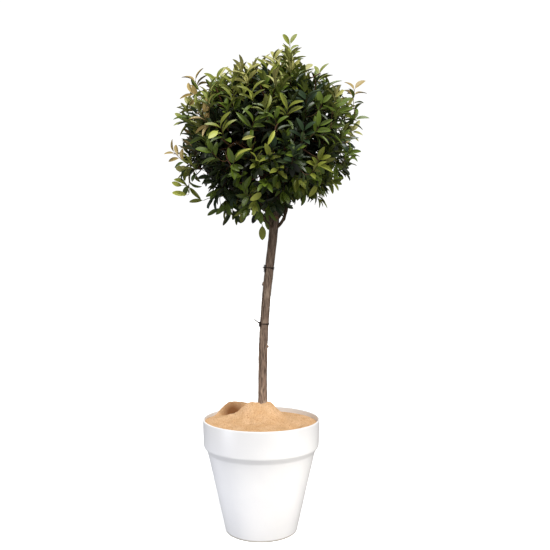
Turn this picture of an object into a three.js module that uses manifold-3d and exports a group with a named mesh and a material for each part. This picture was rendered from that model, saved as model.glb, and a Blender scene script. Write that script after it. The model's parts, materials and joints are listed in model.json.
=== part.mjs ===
// A standard bay: a round head of glossy leaves on a bare, slightly leaning trunk,
// planted in a round white pot that is dressed with sand.
// Millimetres. The origin is the centre of the pot's flat underside and +Z is up.
// Seen from the front, +X is to the right and +Y away from the eye.

import * as THREE from 'three';
import { mergeVertices } from 'three/addons/utils/BufferGeometryUtils.js';
import Module from 'manifold-3d';

const wasm = await Module();
wasm.setup();

const { degToRad, lerp } = THREE.MathUtils;
const UP = new THREE.Vector3(0, 0, 1);
const GAP = 0.3; // clearance between neighbouring solids
const SLIVER = 0.05; // edges shorter than this are closed up after a join or a cut
const SEED = 3005; // starts the order of the random numbers
const GOLDEN_ANGLE = degToRad(137.5); // turn from one twig or leaf to the next

// The pot: a plain tapered body under a broad, slightly flared rim band.
const POT = {
  height: 378.6,
  rimRadius: 200,
  rimFootRadius: 196.5,
  rimFootHeight: 286,
  neckRadius: 182,
  neckHeight: 265,
  baseRadius: 122,
  edge: 4, // rounding of the rim's edges and of the base
  wall: 7,
  floor: 7,
  segments: 36,
};

// The sand: a fill up to a level just under the rim, with mounds and dips on it.
const SAND = {
  level: 362,
  rings: 5,
  mounds: [
    { name: 'crest round the trunk', x: 2, y: -6, rise: 69, wide: 84, deep: 76 },
    { name: 'hump at the back left', x: -94, y: 128, rise: 44, wide: 48, deep: 34 },
    { name: 'left shoulder', x: -128, y: 8, rise: 17, wide: 70, deep: 84 },
    { name: 'front bank', x: 10, y: -150, rise: 16, wide: 150, deep: 60 },
    { name: 'right bump', x: 150, y: -92, rise: 12, wide: 28, deep: 28 },
    { name: 'right dimple', x: 101, y: -98, rise: -16, wide: 26, deep: 24 },
  ],
};

// The trunk: nearly upright below, then leaning to the right up to its fork.
const TRUNK = {
  line: [
    [4, 0, 420],
    [6, -2, 612],
    [16, -1, 783],
    [30, 2, 913],
    [43.5, 1, 1040],
    [49, 0, 1098],
  ],
  footRadius: 14.8,
  forkRadius: 15.6,
  tipRadius: 13,
  flare: 3.6, // how far the root flare stands out at the foot
  flareHeight: 34,
  sides: 10,
  steps: 14,
};

// Stubs of pruned shoots on the trunk.
const STUBS = [
  { name: 'low stub', height: 619, bearing: -20, length: 5, radius: 3.6 },
  { name: 'knot', height: 834, bearing: 190, length: 3.2, radius: 6 },
  { name: 'pruning scar', height: 1058, bearing: 292, length: 4.5, radius: 7 },
];

// Wire ties round the trunk. Each is twisted into a short tail.
const TIES = [
  { name: 'tie_lower', height: 708, wire: 1.3, tail: 26, bearing: 186, rise: 0.85 },
  { name: 'tie_upper', height: 893, wire: 1.3, tail: 13, bearing: 200, rise: 0.25 },
];

const TIE_SIDES = 12;

// The crown: how far it reaches from its middle, seen from the front, at every 30 degrees
// from straight down to straight up, on its right and on its left.
const CROWN = {
  middle: new THREE.Vector3(22, 0, 1358),
  rightReach: [292, 288, 306, 330, 344, 292, 290],
  leftReach: [292, 334, 374, 322, 312, 264, 290],
};

// The masses of foliage and the bough that carries each. Bearing is measured from the right
// towards the back, and elevation from level, both seen from the crown's middle. "proud" is how
// far the leading shoot stands out of the crown. The bough ends "entry" from that middle. "at" is
// the share of the parent's length where it springs from the parent. There it swings off by
// "swing" degrees and is "girth" in radius.
const LIMBS = [
  // name, bearing, elevation, proud, entry, parent, at, swing, girth
  ['top', 0, 77, 48, 150, 'trunk', 1, 0, 10.5],
  ['upper_left', 180, 43, 10, 138, 'top', 0.1, 38, 6.6],
  ['upper_right', 2, 47, 6, 138, 'top', 0.42, 42, 5],
  ['upper_back_right', 58, 44, 0, 138, 'top', 0.6, 42, 4.8],
  ['upper_back_left', 122, 46, 4, 138, 'top', 0.5, 42, 4.8],
  ['upper_front_left', 238, 45, 4, 138, 'upper_left', 0.55, 40, 4.6],
  ['upper_front_right', 302, 46, 0, 138, 'top', 0.34, 42, 5],
  ['middle_right', 0, 23, 24, 135, 'trunk', 0.94, 44, 7.6],
  ['middle_back_right', 44, 10, 0, 135, 'middle_right', 0.45, 45, 4.6],
  ['middle_back', 88, 13, 6, 135, 'trunk', 0.945, 46, 7.2],
  ['middle_back_left', 134, 9, 0, 135, 'middle_back', 0.5, 45, 4.6],
  ['middle_left', 180, 7, 18, 140, 'lower_left', 0.5, 40, 4.8],
  ['middle_front_left', 227, 12, 4, 135, 'upper_left', 0.3, 45, 5],
  ['middle_front', 271, 9, 0, 135, 'trunk', 0.965, 50, 7.2],
  ['middle_front_right', 316, 13, 0, 135, 'middle_front', 0.45, 45, 4.8],
  ['lower_right', 8, -13, 4, 150, 'middle_right', 0.36, 45, 5],
  ['lower_back_right', 62, -24, 0, 155, 'middle_back', 0.28, 45, 4.8],
  ['lower_back_left', 118, -26, 4, 155, 'middle_back', 0.36, 45, 4.8],
  ['lower_left', 180, -29, 20, 175, 'trunk', 0.955, 66, 6.6],
  ['lower_front_left', 238, -24, 0, 155, 'middle_front', 0.28, 45, 4.8],
  ['lower_front_right', 300, -24, 0, 155, 'middle_front', 0.36, 45, 4.8],
  ['under_right', 346, -49, 6, 182, 'trunk', 0.895, 64, 5.4],
  ['under_back', 92, -58, 0, 178, 'trunk', 0.885, 62, 4.8],
  ['under_left', 184, -61, 12, 225, 'trunk', 0.9, 56, 4.2],
  ['under_front', 266, -58, 0, 186, 'trunk', 0.89, 62, 4.4],
].map(([name, bearing, elevation, proud, entry, parent, at, swing, girth]) => (
  { name, bearing, elevation, proud, entry, parent, at, swing, girth }
));

const BOUGH = {
  tipRadius: 4.4,
  taper: 0.8, // below 1 the bough thins faster near its foot than near its tip
  sides: 5,
  steps: 5,
  footHandle: 0.36, // how far its two ends run on straight, as shares of its span
  tipHandle: 0.34,
  onwards: 0.6, // at its tip: how much it keeps to the straight way
  lift: 0.4, // and how strongly it turns up
};

// Inside a mass the bough goes on as a stem, with twigs springing from it.
const STEM = {
  radius: 4.4,
  bend: 0.4, // the place of its curve's handle, as a share of its span
  short: 0.86, // it ends short of the mass's tip by this share of a leaf
  steps: 2,
};
const TWIG = {
  count: 3, // side twigs on each stem
  sides: 3,
  radius: 2.3,
  tipRadius: 1.8,
  first: 0.2, // the first and last twig's place along the stem
  last: 0.75,
  leanLow: 68, // degrees between stem and twig, at the stem's foot and at its end
  leanHigh: 44,
  leanVaries: 12,
  turnVaries: 0.6,
  bend: 0.55,
  lift: 0.16, // how strongly a twig turns up towards the light
  short: 0.62, // it ends inside the crown's reach by this share of a leaf
  stride: 6, // step by which the room ahead of it is felt out
  sideRoom: 8, // left at the sides of its mass's space
  clearance: 2, // between it and every other limb
  shortest: 22,
  longest: 120,
};

// Leaves are fewer and larger than life. "proud" is how far one may stand out of the crown.
const LEAF = {
  length: 102,
  width: 43,
  thickness: 2,
  widest: 0.46, // where the blade is broadest, as a share of its length
  fold: 5, // how far the edges stand above the midrib
  droop: 9, // how far the tip bends back
  perShoot: 4,
  spacing: 11, // between the feet of neighbouring leaves along their shoot
  clothed: 0.8, // share of a shoot that can bear leaves
  spreadAtTip: 24, // degrees between the shoot and its last leaf
  spread: 56, // and its other leaves
  root: 4, // how deep the foot of the last leaf is sunk into the shoot's end
  facingUp: 0.4, // how strongly the blades face the sky
  proud: 6,
  proudOnStem: 8,
  clearance: 2.5, // between a blade and every limb
  attempts: 6, // tries to find room for a leaf
  smaller: 0.07, // what each further try takes off its size
  turned: 0.7, // and how far it turns the leaf
  crossing: 4, // cubic millimetres that two leaves may share at their feet
};

// The dense inside of a mass, with leaves round its waist.
const CORE = {
  radius: 64,
  place: 0.6, // along the stem
  clearance: 1,
  leaves: 5,
  leafBearing: 78, // degrees between the mass's direction and the feet of those leaves
  leafSpread: 40,
  leafTurn: 2,
  sunk: 14, // how deep their feet are sunk
};
const HANGING_LEAF = { length: 56, width: 19, along: 0.3, stalk: 9, stalkRadius: 1.5, overlap: 3 };

// Random streams: a mass has its own hundred, shared out between its shoots.
const STREAMS = { perMass: 100, stemLeaves: 50, coreLeaves: 90 };

const COLOURS = {
  pot: { color: 0xf4f3f1, roughness: 0.32, metalness: 0 },
  sand: { color: 0xe6be92, roughness: 0.95, metalness: 0 },
  bark: { color: 0x7f6d5c, roughness: 0.88, metalness: 0 },
  youngBark: { color: 0x5d4a38, roughness: 0.8, metalness: 0 },
  leaf: { color: 0x3f4f22, roughness: 0.38, metalness: 0 },
  wire: { color: 0x2a2724, roughness: 0.5, metalness: 0.6 },
};

// Numbers from 0 to 1 in a fixed order for each seed.
function randomStream(seed) {
  let state = (seed * 2654435761) >>> 0;
  return () => {
    state = (state + 0x6d2b79f5) >>> 0;
    let bits = Math.imul(state ^ (state >>> 15), state | 1);
    bits ^= bits + Math.imul(bits ^ (bits >>> 7), bits | 61);
    return ((bits ^ (bits >>> 14)) >>> 0) / 4294967296;
  };
}

// Solids: a closed geometry becomes a solid that can be joined and cut, and back.
function weld(geometry) {
  const bare = geometry.clone();
  bare.deleteAttribute('normal');
  bare.deleteAttribute('uv');
  return mergeVertices(bare, 1e-4);
}

function solidOf(geometry) {
  const welded = weld(geometry);
  return new wasm.Manifold(new wasm.Mesh({
    numProp: 3,
    vertProperties: new Float32Array(welded.attributes.position.array),
    triVerts: new Uint32Array(welded.index.array),
  }));
}

// The largest connected body, so that a loose scrap or a sealed hollow is dropped.
function mainBody(solid) {
  const bodies = solid.decompose();
  return bodies.reduce((best, body) => (body.volume() > best.volume() ? body : best));
}

function geometryOf(solid) {
  const mesh = mainBody(solid.simplify(SLIVER)).getMesh();
  const geometry = new THREE.BufferGeometry();
  geometry.setAttribute('position', new THREE.BufferAttribute(mesh.vertProperties, 3));
  geometry.setIndex(new THREE.BufferAttribute(mesh.triVerts, 1));
  geometry.computeVertexNormals();
  return geometry;
}

function meshOf(name, geometry, finish) {
  const mesh = new THREE.Mesh(geometry, new THREE.MeshStandardMaterial(finish));
  mesh.name = name;
  return mesh;
}

// A direction from a bearing, from the right towards the back, and an elevation in degrees.
function directionTo(bearing, elevation) {
  const turn = degToRad(bearing);
  const rise = degToRad(elevation);
  return new THREE.Vector3(Math.cos(rise) * Math.cos(turn), Math.cos(rise) * Math.sin(turn), Math.sin(rise));
}

// Two unit vectors square to a direction and to each other.
function squareTo(direction) {
  const reference = Math.abs(direction.z) < 0.8 ? UP : new THREE.Vector3(1, 0, 0);
  const side = new THREE.Vector3().crossVectors(direction, reference).normalize();
  return [side, new THREE.Vector3().crossVectors(direction, side)];
}

// The direction that leans away from an axis by an angle, turned round the axis by another.
function leaning(axis, lean, turn) {
  const [side, other] = squareTo(axis);
  return axis.clone().multiplyScalar(Math.cos(lean))
    .addScaledVector(side, Math.sin(lean) * Math.cos(turn))
    .addScaledVector(other, Math.sin(lean) * Math.sin(turn));
}

// A closed round bar along a curve. Its radius is a function of the share of the length.
function barAlong(curve, radiusAt, sides, steps) {
  const bar = new THREE.CylinderGeometry(1, 1, 1, sides, steps);
  const frames = curve.computeFrenetFrames(steps);
  const place = bar.attributes.position;
  for (let i = 0; i < place.count; i += 1) {
    const ring = Math.round((place.getY(i) + 0.5) * steps);
    const radius = radiusAt(ring / steps);
    const point = curve.getPointAt(ring / steps)
      .addScaledVector(frames.normals[ring], place.getX(i) * radius)
      .addScaledVector(frames.binormals[ring], -place.getZ(i) * radius);
    place.setXYZ(i, point.x, point.y, point.z);
  }
  return bar;
}

// The pot is one turned wall with a flat floor.
function potInnerRadius(z) {
  const { height, rimRadius, rimFootHeight, rimFootRadius, neckRadius, neckHeight, baseRadius, wall } = POT;
  if (z > rimFootHeight) {
    return lerp(rimFootRadius, rimRadius, (z - rimFootHeight) / (height - rimFootHeight)) - wall;
  }
  if (z > neckHeight) {
    return lerp(neckRadius, rimFootRadius, (z - neckHeight) / (rimFootHeight - neckHeight)) - wall;
  }
  return lerp(baseRadius, neckRadius, z / neckHeight) - wall;
}

function potMesh() {
  const { height, rimRadius, rimFootRadius, rimFootHeight, neckRadius, neckHeight } = POT;
  const { baseRadius, edge, floor, wall, segments } = POT;
  const profile = [
    [0, 0],
    [baseRadius - edge, 0],
    [baseRadius + edge * 0.2, edge],
    [neckRadius, neckHeight],
    [rimFootRadius - edge * 0.6, rimFootHeight - edge],
    [rimFootRadius, rimFootHeight],
    [rimRadius, height - edge],
    [rimRadius - edge * 0.5, height],
    [rimRadius - wall + 1, height],
    [potInnerRadius(height - 2), height - 2],
    [potInnerRadius(rimFootHeight), rimFootHeight],
    [potInnerRadius(neckHeight), neckHeight],
    [potInnerRadius(floor), floor],
    [0, floor],
  ];
  const geometry = new THREE.LatheGeometry(profile.map(([x, y]) => new THREE.Vector2(x, y)), segments);
  geometry.rotateX(Math.PI / 2);
  return meshOf('pot', geometry, COLOURS.pot);
}

// The sand's height at a place, from its level and its mounds.
function sandHeight(x, y) {
  return SAND.mounds.reduce((height, mound) => {
    const across = (x - mound.x) / mound.wide;
    const along = (y - mound.y) / mound.deep;
    return height + mound.rise * Math.exp(-(across * across + along * along));
  }, SAND.level);
}

// The fill stands on the pot's floor, follows its wall and has a socket for the trunk.
function sandMesh(trunkSocket) {
  const { rings, level } = SAND;
  const wallHeights = [POT.floor + GAP, POT.neckHeight, POT.rimFootHeight];
  const profile = [
    new THREE.Vector2(0, POT.floor + GAP),
    ...wallHeights.map((z) => new THREE.Vector2(potInnerRadius(z) - 2 * GAP, z)),
  ];
  for (let ring = rings; ring >= 0; ring -= 1) {
    profile.push(new THREE.Vector2((potInnerRadius(level) * ring) / rings, level));
  }
  const geometry = new THREE.LatheGeometry(profile, POT.segments);
  geometry.rotateX(Math.PI / 2);
  const place = geometry.attributes.position;
  for (let i = 0; i < place.count; i += 1) {
    if (place.getZ(i) < level - 1) continue;
    const x = place.getX(i);
    const y = place.getY(i);
    const height = sandHeight(x, y);
    const room = (potInnerRadius(height) - 2 * GAP) / Math.max(Math.hypot(x, y), 1);
    const shrink = Math.min(1, room);
    place.setXYZ(i, x * shrink, y * shrink, height);
  }
  return meshOf('sand', geometryOf(solidOf(geometry).subtract(trunkSocket)), COLOURS.sand);
}

// Trunk and boughs are limbs: a curve and a radius along it.
function trunkLimb() {
  const curve = new THREE.CatmullRomCurve3(TRUNK.line.map(([x, y, z]) => new THREE.Vector3(x, y, z)));
  const length = curve.getLength();
  const { footRadius, forkRadius, tipRadius, flare, flareHeight } = TRUNK;
  const radiusAt = (share) => {
    const body = lerp(footRadius, forkRadius, share);
    const neck = THREE.MathUtils.smoothstep(share, 0.93, 1) * (forkRadius - tipRadius);
    return body - neck + flare * Math.exp(-(share * length) / flareHeight * 1.6);
  };
  return { name: 'trunk', curve, radiusAt };
}

// The share of the trunk's length at which it passes a height.
function shareAtHeight(limb, height) {
  let low = 0;
  let high = 1;
  for (let i = 0; i < 30; i += 1) {
    const share = (low + high) / 2;
    if (limb.curve.getPointAt(share).z < height) low = share;
    else high = share;
  }
  return low;
}

function trunkMesh(trunk) {
  let solid = solidOf(barAlong(trunk.curve, trunk.radiusAt, TRUNK.sides, TRUNK.steps));
  for (const stub of STUBS) {
    const share = shareAtHeight(trunk, stub.height);
    const centre = trunk.curve.getPointAt(share);
    const out = directionTo(stub.bearing, 18);
    const end = centre.clone().addScaledVector(out, trunk.radiusAt(share) + stub.length);
    const taper = (along) => stub.radius * (1.25 - 0.25 * along);
    solid = solid.add(solidOf(barAlong(new THREE.LineCurve3(centre, end), taper, 8, 1)));
  }
  return meshOf('trunk', geometryOf(solid), COLOURS.bark);
}

// A tie is a wire ring round the trunk with a twisted tail.
function tieMesh(tie, trunk) {
  const share = shareAtHeight(trunk, tie.height);
  const centre = trunk.curve.getPointAt(share);
  const ringRadius = (trunk.radiusAt(share) + tie.wire + GAP) / Math.cos(Math.PI / TIE_SIDES);
  const ring = new THREE.TorusGeometry(ringRadius, tie.wire, 4, TIE_SIDES);
  const tilt = new THREE.Quaternion().setFromUnitVectors(UP, trunk.curve.getTangentAt(share));
  ring.applyQuaternion(tilt).translate(centre.x, centre.y, centre.z);
  const out = directionTo(tie.bearing, 0);
  const root = centre.clone().addScaledVector(out, ringRadius);
  const bend = root.clone().addScaledVector(out, tie.tail * 0.5);
  const end = root.clone().addScaledVector(out, tie.tail * 0.72);
  end.z += tie.tail * tie.rise;
  const tail = new THREE.QuadraticBezierCurve3(root, bend, end);
  const taper = (along) => tie.wire * (1.35 - 0.45 * along);
  return meshOf(tie.name, geometryOf(solidOf(ring).add(solidOf(barAlong(tail, taper, 5, 3)))), COLOURS.wire);
}

// A bough leaves its parent's middle, swings out and enters its mass of foliage.
function boughLimb(limb, limbs) {
  const parent = limbs.get(limb.parent);
  const outward = directionTo(limb.bearing, limb.elevation);
  const end = CROWN.middle.clone().addScaledVector(outward, limb.entry);
  const onTip = limb.at === 1;
  const start = parent.curve.getPointAt(limb.at);
  const along = parent.curve.getTangentAt(limb.at);
  if (onTip) start.addScaledVector(along, GAP);
  const span = start.distanceTo(end);
  const towards = end.clone().sub(start).normalize();
  const swing = degToRad(limb.swing);
  const sideways = towards.clone().addScaledVector(along, -towards.dot(along)).normalize();
  const leave = along.clone().multiplyScalar(Math.cos(swing)).addScaledVector(sideways, Math.sin(swing));
  const arrive = new THREE.Vector3(outward.x, outward.y, Math.max(outward.z, 0)).normalize()
    .addScaledVector(towards, BOUGH.onwards)
    .addScaledVector(UP, (BOUGH.lift * (1 + outward.z)) / 2)
    .normalize();
  const curve = new THREE.CubicBezierCurve3(
    start,
    start.clone().addScaledVector(leave, span * BOUGH.footHandle),
    end.clone().addScaledVector(arrive, -span * BOUGH.tipHandle),
    end,
  );
  const radiusAt = (share) => lerp(limb.girth, BOUGH.tipRadius, share ** BOUGH.taper);
  return { name: limb.name, curve, radiusAt, outward, parent, onTip, row: limb };
}

// The bough's foot is cut to the shape of its parent, with a gap.
function boughMesh(bough) {
  const { sides, steps } = BOUGH;
  let solid = solidOf(barAlong(bough.curve, bough.radiusAt, sides, steps));
  if (!bough.onTip) {
    const parentSides = bough.parent.name === 'trunk' ? TRUNK : BOUGH;
    const wider = (share) => bough.parent.radiusAt(share) + GAP;
    solid = solid.subtract(solidOf(barAlong(bough.parent.curve, wider, parentSides.sides, parentSides.steps)));
  }
  return meshOf(`bough_${bough.name}`, geometryOf(solid), COLOURS.youngBark);
}

// How far the crown reaches from its middle in a direction.
function crownReach(direction) {
  const rise = Math.asin(THREE.MathUtils.clamp(direction.z, -1, 1));
  const step = (rise / Math.PI + 0.5) * (CROWN.rightReach.length - 1);
  const below = Math.min(Math.floor(step), CROWN.rightReach.length - 2);
  const share = THREE.MathUtils.smoothstep(step - below, 0, 1);
  const flat = Math.hypot(direction.x, direction.y);
  const rightness = flat > 1e-6 ? (1 + direction.x / flat) / 2 : 0.5;
  const right = lerp(CROWN.rightReach[below], CROWN.rightReach[below + 1], share);
  const left = lerp(CROWN.leftReach[below], CROWN.leftReach[below + 1], share);
  return lerp(left, right, rightness);
}

// How far outside the crown's reach a point lies; negative inside.
function beyondCrown(point) {
  const offset = point.clone().sub(CROWN.middle);
  const distance = offset.length();
  return distance - crownReach(offset.normalize());
}

// A mass's own space is the wedge of the crown nearest to its own direction. The room in it
// is the distance from a point to the nearest side of the wedge, and negative outside.
function roomInSpace(point, mass, masses) {
  const offset = point.clone().sub(CROWN.middle);
  const distances = masses.filter((other) => other !== mass).map((other) => {
    const across = mass.outward.clone().sub(other.outward);
    return offset.dot(across) / across.length();
  });
  return Math.min(...distances);
}

// Short straight stretches of a limb, for measuring the distance to it.
function stretchesOf(limb) {
  const pieces = 10;
  return Array.from({ length: pieces }, (_, i) => ({
    line: new THREE.Line3(limb.curve.getPointAt(i / pieces), limb.curve.getPointAt((i + 1) / pieces)),
    radius: Math.max(limb.radiusAt(i / pieces), limb.radiusAt((i + 1) / pieces)),
  }));
}

// The distance from a point to the nearest bark.
function roomAmongLimbs(point, stretches) {
  const nearest = new THREE.Vector3();
  return Math.min(...stretches.map(({ line, radius }) => (
    line.closestPointToPoint(point, true, nearest).distanceTo(point) - radius
  )));
}

// A leaf: eight faces, broadest near its middle, folded at the midrib and bent back at its tip.
function leafGeometry(length, width) {
  const leaf = new THREE.OctahedronGeometry(1, 0);
  const place = leaf.attributes.position;
  for (let i = 0; i < place.count; i += 1) {
    const edge = Math.round(place.getX(i));
    const along = Math.round(place.getY(i));
    const face = Math.round(place.getZ(i));
    const y = [0, LEAF.widest, 1][along + 1] * length;
    const fold = (Math.abs(edge) * LEAF.fold * width) / LEAF.width;
    const droop = along > 0 ? (LEAF.droop * length) / LEAF.length : 0;
    place.setXYZ(i, (edge * width) / 2, y, (face * LEAF.thickness) / 2 + fold - droop);
  }
  return leaf;
}

// The leaf's place: its foot, the way it points and the way its upper side faces.
function leafPlace(foot, heading, facing) {
  const side = new THREE.Vector3().crossVectors(heading, facing).normalize();
  const upper = new THREE.Vector3().crossVectors(side, heading);
  return new THREE.Matrix4().makeBasis(side, heading, upper).setPosition(foot);
}

// Points all over a blade, close enough together that no limb passes between them.
function bladePoints(length, width, place) {
  const points = [];
  const rows = 14;
  for (let row = 1; row <= rows; row += 1) {
    const share = row / rows;
    const half = (share < LEAF.widest ? share / LEAF.widest : (1 - share) / (1 - LEAF.widest)) * (width / 2);
    for (const across of [-1, -0.5, 0, 0.5, 1]) {
      points.push(new THREE.Vector3(across * half, share * length, 0).applyMatrix4(place));
    }
  }
  return points;
}

// A mass while it grows: its place among the others, its leaves and its wood.
class Growth {
  constructor(mass, index, world) {
    this.mass = mass;
    this.masses = world.masses;
    this.stretches = world.stretches;
    this.firstStream = SEED + index * STREAMS.perMass;
    this.leaves = [];
    this.wood = [];
  }

  holds(point, clearance) {
    return roomInSpace(point, this.mass, this.masses) >= clearance;
  }

  stream(number) {
    return randomStream(this.firstStream + number);
  }

  // The stem goes on from the bough's tip to a leaf short of the mass's own tip.
  stem() {
    const { curve, outward, row } = this.mass;
    const start = curve.getPoint(1).addScaledVector(curve.getTangent(1), GAP);
    const reach = crownReach(outward) + row.proud - LEAF.length * STEM.short;
    const end = CROWN.middle.clone().addScaledVector(outward, reach);
    const span = start.distanceTo(end);
    const bend = start.clone().addScaledVector(curve.getTangent(1), span * STEM.bend);
    return new THREE.QuadraticBezierCurve3(start, bend, end);
  }

  // The room in front of a shoot before it leaves its space or comes near the crown's reach.
  roomAhead(start, heading) {
    let length = 0;
    const point = start.clone();
    while (length < TWIG.longest) {
      point.addScaledVector(heading, TWIG.stride);
      const deep = beyondCrown(point) < -LEAF.length * TWIG.short;
      if (!deep || !this.holds(point, TWIG.radius + TWIG.sideRoom)) break;
      length += TWIG.stride;
    }
    return length;
  }

  // A twig fits if it stays in the mass's space and clear of every limb.
  twigFits(twig) {
    return [0.3, 0.5, 0.7, 0.85, 1].every((share) => {
      const point = twig.getPoint(share);
      return this.holds(point, TWIG.radius + GAP)
        && roomAmongLimbs(point, this.stretches) > TWIG.radius + TWIG.clearance;
    });
  }

  twig(stem, number) {
    const random = this.stream(number);
    const along = lerp(TWIG.first, TWIG.last, number / (TWIG.count - 1));
    const start = stem.getPoint(along);
    const turn = number * GOLDEN_ANGLE + random() * TWIG.turnVaries;
    const angle = lerp(TWIG.leanLow, TWIG.leanHigh, along) + TWIG.leanVaries * (random() - 0.5);
    const heading = leaning(stem.getTangent(along), degToRad(angle), turn);
    const length = this.roomAhead(start, heading);
    if (length < TWIG.shortest) return null;
    const bend = start.clone().addScaledVector(heading, length * TWIG.bend);
    const end = start.clone().addScaledVector(heading, length).addScaledVector(UP, length * TWIG.lift);
    const twig = new THREE.QuadraticBezierCurve3(start, bend, end);
    return this.twigFits(twig) ? twig : null;
  }

  leafFits(geometry, length, width, place, proud) {
    const corner = new THREE.Vector3();
    const corners = geometry.attributes.position;
    for (let i = 0; i < corners.count; i += 1) {
      corner.fromBufferAttribute(corners, i);
      if (!this.holds(corner, GAP) || beyondCrown(corner) > proud) return false;
    }
    return bladePoints(length, width, place)
      .every((point) => roomAmongLimbs(point, this.stretches) > LEAF.clearance);
  }

  // A leaf that would leave the mass's space, reach past the crown, touch a limb or cut
  // through another leaf is turned and made smaller, and in the end skipped.
  leaf({ foot, axis, spread, bearing, proud }, random) {
    for (let attempt = 0; attempt < LEAF.attempts; attempt += 1) {
      const size = 1.08 - 0.2 * random() - LEAF.smaller * attempt;
      const turn = bearing + attempt * LEAF.turned + random() * 0.5;
      const lean = degToRad(spread * (0.8 + 0.4 * random()));
      const facing = axis.clone().addScaledVector(UP, LEAF.facingUp);
      const length = LEAF.length * size;
      const width = LEAF.width * size;
      const place = leafPlace(foot, leaning(axis, lean, turn), facing);
      const geometry = leafGeometry(length, width).applyMatrix4(place);
      if (!this.leafFits(geometry, length, width, place, proud)) continue;
      const leaf = solidOf(geometry);
      if (this.leaves.some((other) => other.intersect(leaf).volume() > LEAF.crossing)) continue;
      this.leaves.push(leaf);
      return;
    }
  }

  // The leaves near the end of a shoot alternate round it.
  clothe(shoot, random, proud) {
    const axis = shoot.getTangent(1);
    for (let i = 0; i < LEAF.perShoot; i += 1) {
      const back = LEAF.root + i * LEAF.spacing;
      if (back > shoot.getLength() * LEAF.clothed) break;
      const foot = shoot.getPoint(1).addScaledVector(axis, -back);
      const spread = i === 0 ? LEAF.spreadAtTip : LEAF.spread;
      this.leaf({ foot, axis, spread, bearing: i * GOLDEN_ANGLE, proud }, random);
    }
  }

  // The core fills what room there is round a place on the stem.
  core(stem) {
    const { outward } = this.mass;
    const middle = stem.getPoint(CORE.place);
    const sideRoom = roomInSpace(middle, this.mass, this.masses);
    const limbRoom = roomAmongLimbs(middle, this.stretches);
    const room = Math.min(CORE.radius, sideRoom, limbRoom);
    const body = new THREE.IcosahedronGeometry(room - CORE.clearance, 0);
    this.wood.push(body.translate(middle.x, middle.y, middle.z));
    const random = this.stream(STREAMS.coreLeaves);
    for (let i = 0; i < CORE.leaves; i += 1) {
      const axis = leaning(outward, degToRad(CORE.leafBearing), i * GOLDEN_ANGLE);
      const foot = middle.clone().addScaledVector(axis, room - CORE.sunk);
      const bearing = i * CORE.leafTurn;
      this.leaf({ foot, axis, spread: CORE.leafSpread, bearing, proud: LEAF.proud }, random);
    }
  }

  grow() {
    const stem = this.stem();
    const stemTaper = (share) => lerp(STEM.radius, TWIG.tipRadius, share);
    const twigTaper = (share) => lerp(TWIG.radius, TWIG.tipRadius, share);
    this.wood.push(barAlong(stem, stemTaper, TWIG.sides, STEM.steps));
    this.clothe(stem, this.stream(STREAMS.stemLeaves), this.mass.row.proud + LEAF.proudOnStem);
    for (let i = 0; i < TWIG.count; i += 1) {
      const twig = this.twig(stem, i);
      if (!twig) continue;
      this.wood.push(barAlong(twig, twigTaper, TWIG.sides, 1));
      this.clothe(twig, this.stream(STREAMS.stemLeaves + 1 + i), LEAF.proud);
    }
    this.core(stem);
    return wasm.Manifold.union([...this.wood.map(solidOf), ...this.leaves]);
  }
}

function foliageMesh(mass, index, world) {
  const solid = new Growth(mass, index, world).grow();
  return meshOf(`foliage_${mass.name}`, geometryOf(solid), COLOURS.leaf);
}

// One leaf hangs on a short stalk from a thin bough on the left.
function hangingLeafMesh(bough) {
  const { length, width, along, stalk, stalkRadius, overlap } = HANGING_LEAF;
  const down = new THREE.Vector3(-0.12, -0.2, -1).normalize();
  const tangent = bough.curve.getTangentAt(along);
  const out = down.clone().addScaledVector(tangent, -down.dot(tangent)).normalize();
  const start = bough.curve.getPointAt(along).addScaledVector(out, bough.radiusAt(along) + GAP);
  const end = start.clone().addScaledVector(out, stalk);
  const bar = barAlong(new THREE.LineCurve3(start, end), () => stalkRadius, TWIG.sides, 1);
  const foot = start.clone().addScaledVector(out, stalk - overlap);
  const leaf = leafGeometry(length, width);
  leaf.applyMatrix4(leafPlace(foot, down, new THREE.Vector3(0.35, -1, 0)));
  return meshOf('foliage_hanging_leaf', geometryOf(solidOf(bar).add(solidOf(leaf))), COLOURS.leaf);
}

const trunk = trunkLimb();
const limbs = new Map([['trunk', trunk]]);
const waiting = [...LIMBS];
while (waiting.length > 0) {
  const row = waiting.shift();
  if (limbs.has(row.parent)) limbs.set(row.name, boughLimb(row, limbs));
  else waiting.push(row);
}
const boughs = LIMBS.map((row) => limbs.get(row.name));
const world = { masses: boughs, stretches: [...limbs.values()].flatMap(stretchesOf) };

const socketTaper = (share) => trunk.radiusAt(share) + GAP;
const trunkSocket = solidOf(barAlong(trunk.curve, socketTaper, TRUNK.sides, TRUNK.steps));

const plant = new THREE.Group();
plant.add(potMesh());
plant.add(sandMesh(trunkSocket));
plant.add(trunkMesh(trunk));
TIES.forEach((tie) => plant.add(tieMesh(tie, trunk)));
boughs.forEach((bough) => plant.add(boughMesh(bough)));
plant.add(hangingLeafMesh(limbs.get('under_left')));
boughs.forEach((mass, index) => plant.add(foliageMesh(mass, index, world)));

export default plant;
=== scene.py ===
"""A standard bay: a loose round head of glossy leaves on a slim leaning trunk, in a white pot of sand.

Sizes are in millimetres, as in the part's source, and the meshes are made in metres. The origin
is the centre of the pot's flat underside, +X is to the right and +Y away from the eye.
"""

from __future__ import annotations

import json
import logging
import math
from dataclasses import dataclass, field
from enum import Enum
from typing import Callable, Sequence

import bpy
import numpy as np
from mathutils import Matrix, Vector, noise

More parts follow.
